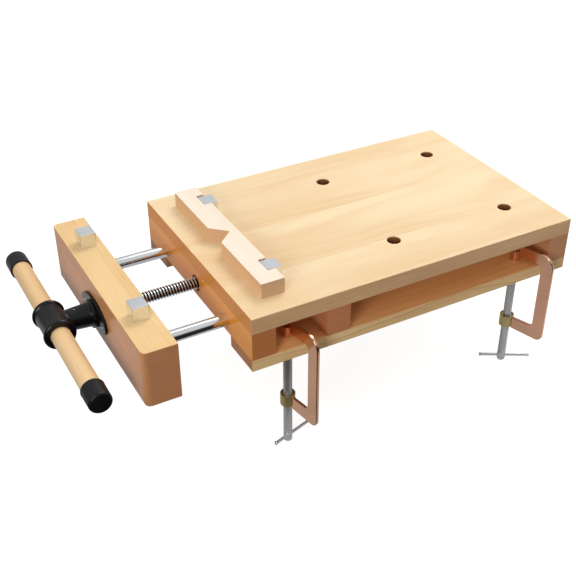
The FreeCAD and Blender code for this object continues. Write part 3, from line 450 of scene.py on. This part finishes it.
def new_finish(name):
    """A material, the wiring of its tree and its Principled shader's inputs."""
    made = bpy.data.materials.new(name)
    made.use_nodes = True
    return made, Wiring(made.node_tree), made.node_tree.nodes["Principled BSDF"].inputs


# A dark brown painted on the hole walls: painted shade standing in for the shadow inside the holes.
HOLE_PAINTED_SHADE, HOLE_SHADE_SHARE = colour(112, 56, 30), 0.85  # the colour of a hole's wall, and how much it covers


def timber(name, grain, faces, top_painted_light, end, start, spacing=0.0035, stave=0.3, pith=0.08, figure=0.35,
           rough=0.42, coat=0.08, bored_inside=None):
    """Wood darkened by late growth rings, streaks and flecks, with a colour of its own on its ends.

    faces and top_painted_light are (pale, deep) colours for the upright faces and for the faces
    that look straight up or down: lit and shaded copies of one wood, that is painted light and shade.
    bored_inside is half the length and width of the part of a board whose upright faces are all
    hole walls, which get a painted shade, a dark brown.
    """
    made, wiring, shader = new_finish(name)
    axis, turn = GRAIN_AXES[grain]
    where = wiring.add("TexCoord").outputs["Object"]
    board = wiring.add("Mapping", {"Vector": where, "Location": start, "Rotation": turn}).outputs[0]
    wood = place_group(wiring, WOOD_FIGURE, {"Position": board, "Ring Spacing": spacing,
                                             "Stave Width": stave, "Pith Depth": pith})
    on_end = place_group(wiring, END_MASK, {"Grain Axis": axis})["End"]
    level = place_group(wiring, END_MASK, {"Grain Axis": (0, 0, 1)})["End"]
    edge = place_group(wiring, EDGE_MASK, {"Width": 0.002, "Breakup": 0.5})["Edge"]
    cloud = wiring.between(wood["Cloud"], 0.32, 0.68)
    amount = wiring.math("MULTIPLY_ADD", wood["Ring"], figure, wiring.math("MULTIPLY", cloud, 0.45))
    amount = wiring.math("MULTIPLY_ADD", wood["Stave"], 0.12, amount)
    streaked = wiring.math("MULTIPLY_ADD", wood["Fibre"], 0.5, wiring.math("ADD", amount, -0.28), clamp=True)
    # Faces that look straight up or down take the top colours, lit and shaded copies of one wood: painted
    # light and shade.
    pale, deep = (wiring.mix(level, faces[shade], top_painted_light[shade]) for shade in (0, 1))
    body = wiring.mix(streaked, pale, deep)
    flecked = wiring.mix(wiring.math("MULTIPLY", wood["Fleck"], 0.3), body, deep)
    darker = tuple(0.6 * v for v in end[:3]) + (1.0,)
    ends = wiring.mix(wiring.math("MULTIPLY_ADD", wood["Ring"], 0.35,
                                  wiring.math("MULTIPLY", wood["Fibre"], 0.5), clamp=True), end, darker)
    whole = wiring.mix(on_end, flecked, ends)
    # Hole walls turn dark brown: painted shade inside the holes.
    if bored_inside:
        place = wiring.add("SeparateXYZ", {"Vector": wiring.vector("ABSOLUTE", where)}).outputs
        within = [wiring.math("LESS_THAN", place[side], half) for side, half in zip("XY", bored_inside)]
        wall = wiring.math("SUBTRACT", wiring.math("MULTIPLY", *within), level, clamp=True)
        whole = wiring.mix(wiring.math("MULTIPLY", wall, HOLE_SHADE_SHARE), whole, HOLE_PAINTED_SHADE)
    # Edges turn towards the pale top colour: partly wear, partly a painted highlight.
    edge_worn_and_highlit = wiring.mix(wiring.math("MULTIPLY", edge, 0.2), whole, top_painted_light[0])
    wiring.feed(shader["Base Color"], edge_worn_and_highlit)
    wiring.feed(shader["Roughness"], wiring.math("MULTIPLY_ADD", wood["Fibre"], 0.16, rough - 0.08))
    shader["Specular IOR Level"].default_value = 0.16
    shader["Coat Weight"].default_value = coat
    shader["Coat Roughness"].default_value = 0.16
    height = wiring.math("MULTIPLY_ADD", wood["Ring"], 0.3, wood["Fibre"])
    bump = wiring.add("Bump", {"Height": height, "Strength": 0.10, "Distance": 0.0003})
    wiring.feed(shader["Normal"], bump.outputs["Normal"])
    return made


def finish(material, *nodes):
    """Give these engineering nodes that material, in the slots they already have."""
    for name in nodes:
        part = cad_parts[name]
        for holder in part.material_slots:
            holder.material = material


OUTER_RIM = 10 * MM  # the worktop's own edge faces lie within this of its outline, its holes do not
SLAB_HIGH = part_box("worktop_slab")[1]
BORED_INSIDE = (SLAB_HIGH.x - OUTER_RIM, SLAB_HIGH.y - OUTER_RIM)
# The rails' tops take darker colours than their sides: painted shadow where the slab shades them.
RAIL = ((255, 220, 160), (212, 162, 108)), ((248, 186, 122), (200, 130, 74)), (196, 132, 84)
TURNED = (250, 218, 170), (226, 180, 124)
TIMBERS = {
    # node: finish name, grain,
    #     (pale, deep) on upright faces, (pale, deep) on top as painted light and shade, end grain,
    #     start of the board, its other qualities
    "worktop_slab": (
        "oiled_worktop", "X",
        ((246, 204, 156), (192, 140, 98)), ((248, 226, 186), (228, 186, 134)), (236, 160, 78),
        (0.31, 0.04, 0.0), dict(spacing=0.007, stave=0.13, figure=0.32, bored_inside=BORED_INSIDE)),
    "front_block": (
        "front_jaw_block", "Y",
        ((255, 176, 66), (214, 124, 42)), ((244, 168, 80), (206, 120, 46)), (212, 134, 81),
        (0.2, 0.0, 0.3), dict(rough=0.3, coat=0.15)),
    "middle_block": (
        "middle_block_wood", "Y",
        ((212, 140, 92), (158, 92, 58)), ((220, 160, 110), (170, 110, 70)), (218, 144, 96),
        (0.9, 0.03, 0.1), {}),
    "rear_block": (
        "rear_block_wood", "Y",
        ((216, 160, 112), (166, 104, 66)), ((226, 174, 130), (170, 116, 76)), (216, 154, 112),
        (1.7, 0.02, 0.2), {}),
    "near_rail": ("near_rail_wood", "X", *RAIL, (2.3, 0.05, 0.0), dict(figure=0.5)),
    "far_rail": ("far_rail_wood", "X", *RAIL, (3.1, 0.01, 0.0), dict(figure=0.5)),
    "moving_jaw": (
        "moving_jaw_wood", "Y",
        ((228, 164, 110), (176, 112, 70)), ((246, 212, 156), (220, 168, 108)), (213, 147, 102),
        (0.55, 0.02, 0.0), dict(spacing=0.006, figure=0.25, rough=0.32, coat=0.12)),
    "v_stop_bar": (
        "stop_bar_wood", "Y",
        ((238, 198, 152), (210, 160, 114)), ((250, 238, 220), (236, 212, 184)), (222, 182, 142),
        (1.2, 0.0, 0.0), dict(spacing=0.005, figure=0.22, rough=0.55, coat=0.0)),
    "handle_bar": (
        "handle_wood_turned", "Y", TURNED, TURNED, (220, 170, 120),
        (0.7, 0.0, 0.0), dict(spacing=0.005, figure=0.22, rough=0.4, coat=0.1)),
}
for node, (name, grain, faces, top_painted_light, end, start, qualities) in TIMBERS.items():
    pairs = [tuple(colour(*shade) for shade in pair) for pair in (faces, top_painted_light)]
    finish(timber(name, grain, *pairs, colour(*end), start, **qualities), node)
print("timber finishes", len(TIMBERS), "bored inside", [round(half, 4) for half in BORED_INSIDE])

# %% [markdown]
# ## Metals and plastics
# Bare metal gets its look from roughness far more than from colour, so each finish here is a
# metallic shader whose roughness is broken up by tool marks and clouds. The black enamelled and
# moulded pieces are plain dark colours whose skin shows in the bump.

# %% Metal finishes
# Near-black for the thread roots: painted shade between the turns.
THREAD_ROOT_SHADE = (0.05, 0.045, 0.04, 1)


def metal(name, tint, rough, squeeze=(1.0, 1.0, 1.0), marks=0.1, cloud=0.02, edge_wear_and_light_tint=None, edge=0.0,
          coat=0.0, bump=0.06, thread=None):
    """Roughness rises with tool marks and clouds; edges turn towards their own tint.

    thread gives the inputs of the thread mask, whose roots get a painted shade, near-black, between the
    turns.
    """
    made, wiring, shader = new_finish(name)
    lines = place_group(wiring, TOOL_MARKS, {"Squeeze": squeeze, "Contrast": 0.22})["Lines"]
    skin = place_group(wiring, SKIN, {"Cloud Size": cloud, "Grit Size": 0.0012})
    dull = tuple(0.82 * v for v in tint[:3]) + (1.0,)
    body = wiring.mix(wiring.math("MULTIPLY", skin["Cloud"], 0.6), tint, dull)
    if edge_wear_and_light_tint:
        # Edge tint: partly wear, partly painted highlight and painted shade.
        rim = place_group(wiring, EDGE_MASK, {"Width": 0.0016, "Breakup": 0.3})["Edge"]
        body = wiring.mix(wiring.math("MULTIPLY", rim, edge), body, edge_wear_and_light_tint)
    if thread:
        # Thread roots turn near-black: painted shade between the turns.
        body = wiring.mix(place_group(wiring, THREAD_DEPTH, thread)["Depth"], THREAD_ROOT_SHADE, body)
    wiring.feed(shader["Base Color"], body)
    uneven = wiring.math("MULTIPLY_ADD", skin["Cloud"], marks * 0.6, wiring.math("MULTIPLY", lines, marks))
    wiring.feed(shader["Roughness"], wiring.math("ADD", uneven, rough))
    shader["Metallic"].default_value = 1.0
    shader["Coat Weight"].default_value = coat
    shader["Coat Roughness"].default_value = 0.12
    surface = wiring.add("Bump", {"Height": lines, "Strength": bump, "Distance": 0.0002})
    wiring.feed(shader["Normal"], surface.outputs["Normal"])
    return made


def dark_skin(name, tint, rough, grit, bump):
    """A near-black colour over a gritty or rippled skin; clouds vary its shine."""
    made, wiring, shader = new_finish(name)
    skin = place_group(wiring, SKIN, {"Cloud Size": 0.012, "Grit Size": grit})
    lifted = tuple(min(1.0, 2.2 * v) for v in tint[:3]) + (1.0,)
    wiring.feed(shader["Base Color"], wiring.mix(wiring.math("MULTIPLY", skin["Cloud"], 0.5), tint, lifted))
    wiring.feed(shader["Roughness"], wiring.math("MULTIPLY_ADD", skin["Cloud"], 0.14, rough))
    shader["Specular IOR Level"].default_value = 0.3
    surface = wiring.add("Bump", {"Height": skin["Grit"], "Strength": bump, "Distance": 0.0003})
    wiring.feed(shader["Normal"], surface.outputs["Normal"])
    return made


CHROME = metal("polished_rod", (0.88, 0.89, 0.91, 1), 0.03, squeeze=(900.0, 20.0, 20.0), marks=0.04,
               bump=0.0)
# The dogs' edges turn almost white: partly wear, partly a painted highlight.
DOG_STEEL = metal("satin_dog", (0.88, 0.93, 0.98, 1), 0.18, squeeze=(60.0, 60.0, 300.0), marks=0.03,
                  cloud=0.06, edge_wear_and_light_tint=(0.98, 0.98, 1.0, 1), edge=0.8, bump=0.0)
ZINC = metal("zinc_plate", (0.62, 0.63, 0.64, 1), 0.24, squeeze=(150.0, 150.0, 500.0), marks=0.12,
             cloud=0.006, edge_wear_and_light_tint=(0.85, 0.85, 0.87, 1), edge=0.3)
# The clamp frames' edges turn dark brown: painted shade along their rounded edges.
COPPER = metal("copper_enamel", (0.82, 0.47, 0.31, 1), 0.17, squeeze=(60.0, 60.0, 60.0), marks=0.05,
               cloud=0.05, edge_wear_and_light_tint=(0.26, 0.11, 0.05, 1), edge=0.6, coat=0.15, bump=0.0)
OLIVE_BRASS = metal("olive_brass", (0.54, 0.42, 0.20, 1), 0.26, squeeze=(120.0, 120.0, 600.0),
                    marks=0.16, cloud=0.006, edge_wear_and_light_tint=(0.82, 0.74, 0.45, 1), edge=0.6)
BLACK_IRON = dark_skin("black_enamel", (0.003, 0.003, 0.004, 1), 0.20, 0.0022, 0.10)
BLACK_CAP = dark_skin("moulded_cap", (0.004, 0.004, 0.005, 1), 0.36, 0.0009, 0.08)

finish(CHROME, "guide_rod_near", "guide_rod_far")
finish(DOG_STEEL, "dog_jaw_near", "dog_jaw_far", "dog_stop_near", "dog_stop_far")
finish(COPPER, "clamp_frame_front", "clamp_frame_rear")
finish(OLIVE_BRASS, "clamp_bush_front", "clamp_bush_rear")
finish(ZINC, "clamp_pad_front", "clamp_pad_rear", "clamp_tommy_front", "clamp_tommy_rear",
       "frame_screws", "nut_screws", "rod_pins", "hub_pin", "retaining_ring", "vise_nut")
finish(BLACK_IRON, "flange_plate")
print("materials", len(bpy.data.materials))

# %% [markdown]
# ## New pieces as surfaces
# The engineering model keeps threads as plain cylinders and castings as simple turned shapes.
# The pieces below replace those. They could be sculpted or built from modifiers, but each one is
# really a formula: a profile carried round an axis, or a profile that climbs as it goes round.
# So each is a grid of points from two parameters, and one function turns any grid into a mesh.

# %% Grid to mesh
SMOOTH_ANGLE = math.radians(32)
MERGE = 0.002 * MM


def lay_grid(name, points, seam_shift=None, closed_rows=False):
    """Quads between neighbouring points of a (rows, columns, 3) grid whose columns run round.

    seam_shift gives, for each row, the row that it meets across the seam between the last column
    and the first. Open grids get a fan to the middle of their first and last rings.
    """
    rows, columns = points.shape[:2]
    index = np.arange(rows * columns).reshape(rows, columns)
    wrapped = index[:, 0] if seam_shift is None else index[seam_shift, 0]
    index = np.column_stack([index, wrapped])
    if closed_rows:
        index = np.vstack([index, index[:1]])
    quads = np.stack([index[:-1, :-1], index[:-1, 1:], index[1:, 1:], index[1:, :-1]], -1).reshape(-1, 4)
    places, faces = points.reshape(-1, 3), quads.tolist()
    if not closed_rows:
        tips = np.stack([points[0].mean(0), points[-1].mean(0)])
        for tip, ring in enumerate((index[0], index[-1])):
            hub = np.full(columns, len(places) + tip)
            faces += np.stack([hub, ring[:-1], ring[1:]], -1).tolist()
        places = np.vstack([places, tips])
    mesh = bpy.data.meshes.new(name)
    mesh.from_pydata(places.tolist(), [], faces)
    return close_up(mesh)


def close_up(mesh):
    """Merge points that fall together, turn every face outwards and shade smooth below an angle."""
    shell = bmesh.new()
    shell.from_mesh(mesh)
    bmesh.ops.remove_doubles(shell, verts=shell.verts, dist=MERGE)
    bmesh.ops.dissolve_degenerate(shell, edges=shell.edges, dist=MERGE)
    bmesh.ops.recalc_face_normals(shell, faces=shell.faces)
    shell.to_mesh(mesh)
    shell.free()
    mesh.shade_smooth()
    mesh.set_sharp_from_angle(angle=SMOOTH_ANGLE)
    return mesh


def install(mesh, name, material, body, slot, *nodes):
    """Put a finished mesh in the scene, in place of the nodes that it stands for."""
    piece = link(bpy.data.objects.new(name, mesh))
    mesh.materials.clear()
    mesh.materials.append(material)
    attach(piece, body)
    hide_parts(*nodes)
    print(name, len(mesh.vertices), "points", len(mesh.polygons), "faces")
    return piece


def around(axis, along, radius, angle, centre):
    """Points at a distance along an axis and a radius and angle about it: the formula of a lathe."""
    u, v = radius * np.cos(angle), radius * np.sin(angle)
    along = along + 0 * u
    order = {"X": (along, u, v), "Y": (v, along, u), "Z": (u, v, along)}[axis]
    return np.stack(order, -1) + np.array(centre)


# %% [markdown]
# A turned or moulded piece never has a knife edge, so a profile is given as a few corners, each
# with the radius of the arc that rounds it. Bevel modifiers could round the finished mesh, but a
# rounded profile puts the arc exactly where the tool or the mould would leave it.

# %% Rounded profiles
def rounded(corners, steps=6):
    """A polyline of (along, radius, arc) corners with each corner swapped for an arc of that size.

    The arc touches both sides at a distance of arc / tan(half the corner's angle) from the corner,
    and its middle lies on the line that halves that angle.
    """
    points = np.array([corner[:2] for corner in corners], float)
    pieces = [points[:1]]
    for before, here, after, corner in zip(points, points[1:], points[2:], corners[1:]):
        arc = corner[2] if len(corner) > 2 else 0.0
        back, ahead = before - here, after - here
        back, ahead = back / np.linalg.norm(back), ahead / np.linalg.norm(ahead)
        half = 0.5 * math.acos(np.clip(back @ ahead, -1, 1))
        if arc <= 0 or half > math.pi / 2 - 1e-3:
            pieces.append(here[None])
            continue
        middle = here + (back + ahead) / np.linalg.norm(back + ahead) * arc / math.sin(half)
        start = here + back * arc / math.tan(half) - middle
        stop = here + ahead * arc / math.tan(half) - middle
        sweep = math.pi - 2 * half
        share = np.linspace(0, 1, steps + 1)[:, None]
        pieces.append(middle + (np.sin((1 - share) * sweep) * start + np.sin(share * sweep) * stop)
                      / math.sin(sweep))
    pieces.append(points[-1:])
    return np.vstack(pieces)


def turned(name, profile, axis, centre, columns=64, closed=False):
    """A profile of (along, radius) carried once round an axis; lengths in metres."""
    angle = np.linspace(0, 2 * math.pi, columns, endpoint=False)
    points = around(axis, profile[:, :1], profile[:, 1:], angle[None], centre)
    return lay_grid(name, points, closed_rows=closed)


# %% [markdown]
# ## Screw threads
# The vise screw's thread is coarse enough to count its turns from across the room. A Screw
# modifier can wind one, but its ends are left open and its run-out is hard to control. In this
# grid every row follows one line of the thread: it starts at an angle of nought and has moved on
# by one pitch after a full turn, so it meets not itself but the row one pitch further along.

# %% Threaded bar
THREAD_ROWS = 12  # in one pitch
RISE, FLANK = 0.30, 0.14  # half the ridge's foot and the width of one flank, as shares of the pitch
RUN_OUT = 0.9  # slope of the cone that brings the thread down at each end


def threaded(name, axis, centre, start, end, crest, root, pitch, before, after, columns=48):
    """A bar with a trapezoid thread from start to end, and plain rings of (along, radius) either side.

    radius = root + depth * clip((rise - |phase - 1/2|) / flank, 0, 1), and never more than a cone
    at each end allows, which gives the thread its run-out.
    """
    turns = int(math.ceil((end - start) / pitch))
    angle = np.linspace(0, 2 * math.pi, columns, endpoint=False)[None]
    row = np.arange(-THREAD_ROWS, turns * THREAD_ROWS + 1)[:, None]
    phase = (row / THREAD_ROWS) % 1.0
    height = np.clip((RISE - np.abs(phase - 0.5)) / FLANK, 0, 1)
    along = np.clip(start + pitch * (row / THREAD_ROWS + angle / (2 * math.pi)), start, end)
    allowed = root + np.minimum(along - start, end - along) * RUN_OUT
    radius = np.minimum(root + (crest - root) * height, np.maximum(allowed, root))
    thread = around(axis, along, radius, angle, centre)
    plain = [around(axis, np.array(rings)[:, :1], np.array(rings)[:, 1:], angle, centre)
             for rings in (before, after)]
    first, count = len(before), len(thread)
    shift = np.arange(first + count + len(after))
    inside = slice(first, first + count)
    shift[inside] = np.minimum(shift[inside] + THREAD_ROWS, first + count - 1)
    return lay_grid(name, np.vstack([plain[0], thread, plain[1]]), seam_shift=shift)


def middle_of(node, *axes):
    """The middle of a node's box, with the axes that are left out set to nought."""
    low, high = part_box(node)
    return [(low[i] + high[i]) / 2 if "XYZ"[i] in axes else 0.0 for i in range(3)]


# %% Vise screw
def vise_screw():
    """Plain journal up to the jaw's recess, then a coarse trapezoid thread to the far end."""
    low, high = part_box("vise_screw")
    jaw_low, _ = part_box("moving_jaw")
    crest, journal, pitch, tip = (high.z - low.z) / 2, 8 * MM, 5 * MM, 2 * MM
    root = crest - 2.4 * MM
    begin = jaw_low.x + 16 * MM
    before = [(low.x, journal - tip / 2), (low.x + tip / 2, journal), (begin - 1 * MM, journal),
              (begin, root)]
    after = [(high.x - tip, root), (high.x, root - tip)]
    centre = middle_of("vise_screw", "Y", "Z")
    # The thread's roots turn near-black: painted shade between the turns.
    steel = metal("bright_thread", (0.86, 0.86, 0.87, 1), 0.12, (200.0, 60.0, 60.0), 0.10, 0.008, thread={
        "Centre": centre, "Across": (0, 1, 1), "Root": root, "Crest": crest - 0.3 * MM})
    screw = threaded("vise_screw", "X", centre, begin, high.x - tip, crest, root, pitch, before, after)
    install(screw, "vise_screw_threaded", steel, "screw", "bright_steel", "vise_screw")


vise_screw()

# %% [markdown]
# The clamp screws have a finer thread, plain at the foot where the tommy bar passes through.
# The bar fills its hole, so the foot is left solid and the bar simply runs through it.

# %% Clamp screws
CLAMP_THREAD = 14.5 * MM  # diameter over the crests; a box round the engineering mesh can fall short of it


def clamp_screw(which):
    """Button end in the pad, neck, thread down to the tommy bar, plain foot with a rounded end."""
    node = f"clamp_screw_{which}"
    low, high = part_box(node)
    pad_low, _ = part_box(f"clamp_pad_{which}")
    bar_low, bar_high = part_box(f"clamp_tommy_{which}")
    crest = CLAMP_THREAD / 2
    root, pitch = crest - 0.9 * MM, 3 * MM
    plain_top = bar_high.z + 5 * MM
    foot = [(low.z, crest - 3 * MM), (low.z + 0.6 * MM, crest - 1.4 * MM), (low.z + 2 * MM, crest - 0.3 * MM),
            (low.z + 3.5 * MM, crest), (plain_top - 0.8 * MM, crest), (plain_top, root)]
    neck, button = 3 * MM, 4.5 * MM
    shoulder = pad_low.z - 0.5 * MM
    head = [(shoulder, root - 1 * MM), (shoulder, neck), (high.z - 4 * MM, neck), (high.z - 4 * MM, button),
            (high.z, button)]
    centre = middle_of(node, "X", "Y")
    screw = threaded(node, "Z", centre, plain_top, shoulder - 1 * MM, crest, root, pitch, foot, head,
                     columns=40)
    install(screw, f"{node}_threaded", ZINC, node, "zinc_steel", node)


for which in ("front", "rear"):
    clamp_screw(which)

# %% [markdown]
# ## Handle hub
# The hub is one iron casting: a waisted barrel with a bead round each mouth, a conical stem and
# a collar. Sculpting would do it, but the barrel is only a lathe profile, so its outline is given
# by a formula and carried round the handle's axis.

# %% Hub barrel
HUB_LOW, HUB_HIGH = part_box("handle_hub")
RIM = (HUB_HIGH.z - HUB_LOW.z) / 2
HUB_AXIS = (HUB_LOW.x + RIM, 0.0, (HUB_HIGH.z + HUB_LOW.z) / 2)
WAIST, HALF_BARREL, BORE = RIM - 3.6 * MM, (HUB_HIGH.y - HUB_LOW.y) / 2, 15.7 * MM
BEAD = 4.2 * MM
OUTLINE = 0.999  # the outline stops this near the mouth, where the lip begins
print("hub barrel", round(2 * HALF_BARREL, 4), "long and", round(2 * RIM, 4), "across")


def barrel_radius(along):
    """Waist, plus a slow flare towards the mouths, plus a half-round bead at each mouth."""
    share = np.abs(along) / HALF_BARREL
    bead = 1 - ((np.abs(along) - (HALF_BARREL - BEAD)) / BEAD) ** 2
    return WAIST + (RIM - WAIST) * np.maximum(0.42 * share ** 2.5, np.sqrt(np.clip(bead, 0, 1)))


def hub_barrel():
    """The outer profile runs mouth to mouth; the bore brings it back, with eased lips."""
    along = HALF_BARREL * np.sin(np.linspace(-1, 1, 61) * math.pi / 2) * OUTLINE
    outer = np.column_stack([along, barrel_radius(along)])
    lip = 1.2 * MM
    bore = rounded([(HALF_BARREL, BORE + 3 * MM), (HALF_BARREL, BORE, lip), (-HALF_BARREL, BORE, lip),
                    (-HALF_BARREL, BORE + 3 * MM)], 4)
    return turned("hub_barrel", np.vstack([outer, bore]), "Y", HUB_AXIS, 96, closed=True)


# %% [markdown]
# The stem grows out of a round barrel, so its root is not a flat ring. Each of its points takes
# the depth of the barrel's surface at that place, and a quarter-round flare leads away from it.

# %% Hub stem
def hub_stem():
    """Round stem about X: a quarter-round flare onto the barrel, a cone, a collar and the screw socket."""
    angle = np.linspace(0, 2 * math.pi, 96, endpoint=False)[None]
    radius, flare = 17 * MM, 4.5 * MM
    turn = np.linspace(math.pi / 2, 0, 9)[:, None]
    spread = radius + flare * (1 - np.cos(turn))
    lift = flare * (1 - np.sin(turn))
    sunk_spread, sunk_lift = np.full((1, 1), radius + flare), np.full((1, 1), -1.6 * MM)
    spread, lift = np.vstack([sunk_spread, spread]), np.vstack([sunk_lift, lift])
    across, up = spread * np.cos(angle), spread * np.sin(angle)
    wall = np.sqrt(np.maximum(barrel_radius(across) ** 2 - up ** 2, (4 * MM) ** 2))
    root = np.stack([wall + lift, across, up], -1)
    reach = HUB_HIGH.x - HUB_AXIS[0]
    collar, root_end = 23 * MM, 19.5 * MM
    cone = rounded([(reach - 12 * MM, 19.0 * MM), (reach - 6 * MM, root_end, 2.5 * MM),
                    (reach - 6 * MM, collar, 1.2 * MM), (reach, collar, 0.8 * MM), (reach, 8 * MM),
                    (reach - 42 * MM, 8 * MM)], 5)
    rest = around("X", cone[:, :1], cone[:, 1:], angle, (0, 0, 0))
    return lay_grid("hub_stem", np.vstack([root, rest]) + np.array(HUB_AXIS))


# %% [markdown]
# Two shells that only overlap would keep hidden walls inside the casting. An exact Boolean union
# leaves one skin, and a second Boolean drills the hole for the cross pin.

# %% Join the hub
def combine(base, tool, operation):
    """One mesh from two by an exact Boolean; both inputs are used up."""
    holder = link(bpy.data.objects.new("work", base))
    cutter = link(bpy.data.objects.new("tool", tool))
    step = holder.modifiers.new("combine", "BOOLEAN")
    step.operation, step.object, step.solver = operation, cutter, "EXACT"
    bpy.context.view_layer.update()
    result = bpy.data.meshes.new_from_object(holder.evaluated_get(bpy.context.evaluated_depsgraph_get()))
    for spent in (holder, cutter):
        bpy.data.objects.remove(spent)
    return result


def hub():
    """Barrel and stem in one, drilled for the cross pin."""
    pin_low, pin_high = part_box("hub_pin")
    pin = middle_of("hub_pin", "X", "Y")
    radius = (pin_high.x - pin_low.x) / 2
    hole = turned("pin_hole", np.array([(HUB_LOW.z - MM, radius), (HUB_HIGH.z + MM, radius)]), "Z", pin, 24)
    return close_up(combine(combine(hub_barrel(), hub_stem(), "UNION"), hole, "DIFFERENCE"))


install(hub(), "handle_hub_cast", BLACK_IRON, "screw", "dark_iron", "handle_hub")

# %% [markdown]
# ## Screws of the flange plate
# Two raised-head screws hold the oval plate. Their domes catch small hard lights, which a flat
# head would not. Each head has a six-sided socket, and the socket's edge is the radius of a
# hexagon at each angle, so it is still a grid: rings of the floor, the wall and the dome.

# %% Socket heads
HEX = 2.4 * MM


def socket_head(place, radius, dome, sink):
    """Height falls from a dome to a flat socket floor where the distance is inside the hexagon.

    The hexagon's edge is at flat / cos(angle folded into one side of 60 degrees).
    """
    angle = np.linspace(0, 2 * math.pi, 48, endpoint=False)[None]
    folded = (angle + math.pi / 6) % (math.pi / 3) - math.pi / 6
    edge = HEX / np.cos(folded)
    share = np.array([0.05, 0.5, 1.0, 1.0])[:, None]
    floor_level = np.array([-sink, -sink, -sink, 0.0])[:, None]
    inner = share * edge
    inner_level = floor_level + np.array([0, 0, 0, dome])[:, None] * (1 - (edge / radius) ** 2)
    spread = np.linspace(0.12, 1, 8)[:, None]
    outer = edge + (radius - edge) * spread
    outer_level = dome * (1 - (outer / radius) ** 2)
    shank, tail = radius * 0.5, radius * 0.55
    rings = np.vstack([inner, outer, np.full_like(edge, radius), np.full_like(edge, shank),
                       np.full_like(edge, shank)])
    levels = np.vstack([inner_level, outer_level, np.full_like(edge, -0.3 * MM), np.full_like(edge, -tail),
                        np.full_like(edge, -6 * MM)])
    across, up = rings * np.cos(angle), rings * np.sin(angle)
    return np.stack([place[0] - levels, place[1] + across, place[2] + up], -1)


def joined(name, meshes):
    """Several meshes as one, their points one after another."""
    places, faces, count = [], [], 0
    for mesh in meshes:
        co = np.empty(len(mesh.vertices) * 3)
        mesh.vertices.foreach_get("co", co)
        places.append(co.reshape(-1, 3))
        faces += [[v + count for v in face.vertices] for face in mesh.polygons]
        count += len(mesh.vertices)
    mesh = bpy.data.meshes.new(name)
    mesh.from_pydata(np.vstack(places).tolist(), [], faces)
    return close_up(mesh)


def plate_screws():
    """Two screws, one at each end of the plate, made one mesh."""
    low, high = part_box("flange_screws")
    radius = (high.z - low.z) / 2
    level = (high.z + low.z) / 2
    meshes = [lay_grid("plate_screw", socket_head((low.x, side, level), radius, 2.3 * MM, 1.6 * MM))
              for side in (low.y + radius, high.y - radius)]
    return joined("plate_screws", meshes)


install(plate_screws(), "plate_screws_domed", DOG_STEEL, "jaw", "zinc_steel", "flange_screws")

# %% [markdown]
# ## Handle caps
# The caps are black mouldings pushed over the ends of the bar. Each has a rounded end with hardly
# any crown, a hair of draft, and a thin lip at its mouth. A plain cylinder with a bevel would lose
# the lip, so the whole wall is one profile carried round the bar.

# %% Handle caps
def handle_cap(side):
    """A cup turned about Y: crowned end, drafted wall, lip, and the bore that takes the bar."""
    low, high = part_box(f"handle_cap_{side}")
    bar_low, bar_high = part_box("handle_bar")
    outer, bore = (high.z - low.z) / 2, (bar_high.z - bar_low.z) / 2
    length, floor_thick = high.y - low.y, 6 * MM
    crown, draft, lip = 0.9 * MM, 0.5 * MM, 2.2 * MM
    profile = rounded([(0, 0), (crown * 0.25, outer * 0.55, 12 * MM), (crown, outer - draft, 4.6 * MM),
                       (length - lip, outer - draft * 0.4, 0.4 * MM),
                       (length - lip + 0.4 * MM, outer, 0.4 * MM), (length, outer, 0.9 * MM),
                       (length, bore, 0.3 * MM), (floor_thick, bore, 0.3 * MM), (floor_thick, 0)], 7)
    along = low.y + profile[:, 0] if side == "near" else high.y - profile[:, 0]
    centre = middle_of(f"handle_cap_{side}", "X", "Z")
    return turned(f"handle_cap_{side}", np.column_stack([along, profile[:, 1]]), "Y", centre, 72)


for side in ("near", "far"):
    install(handle_cap(side), f"handle_cap_{side}_moulded", BLACK_CAP, "handle", "black_plastic",
            f"handle_cap_{side}")
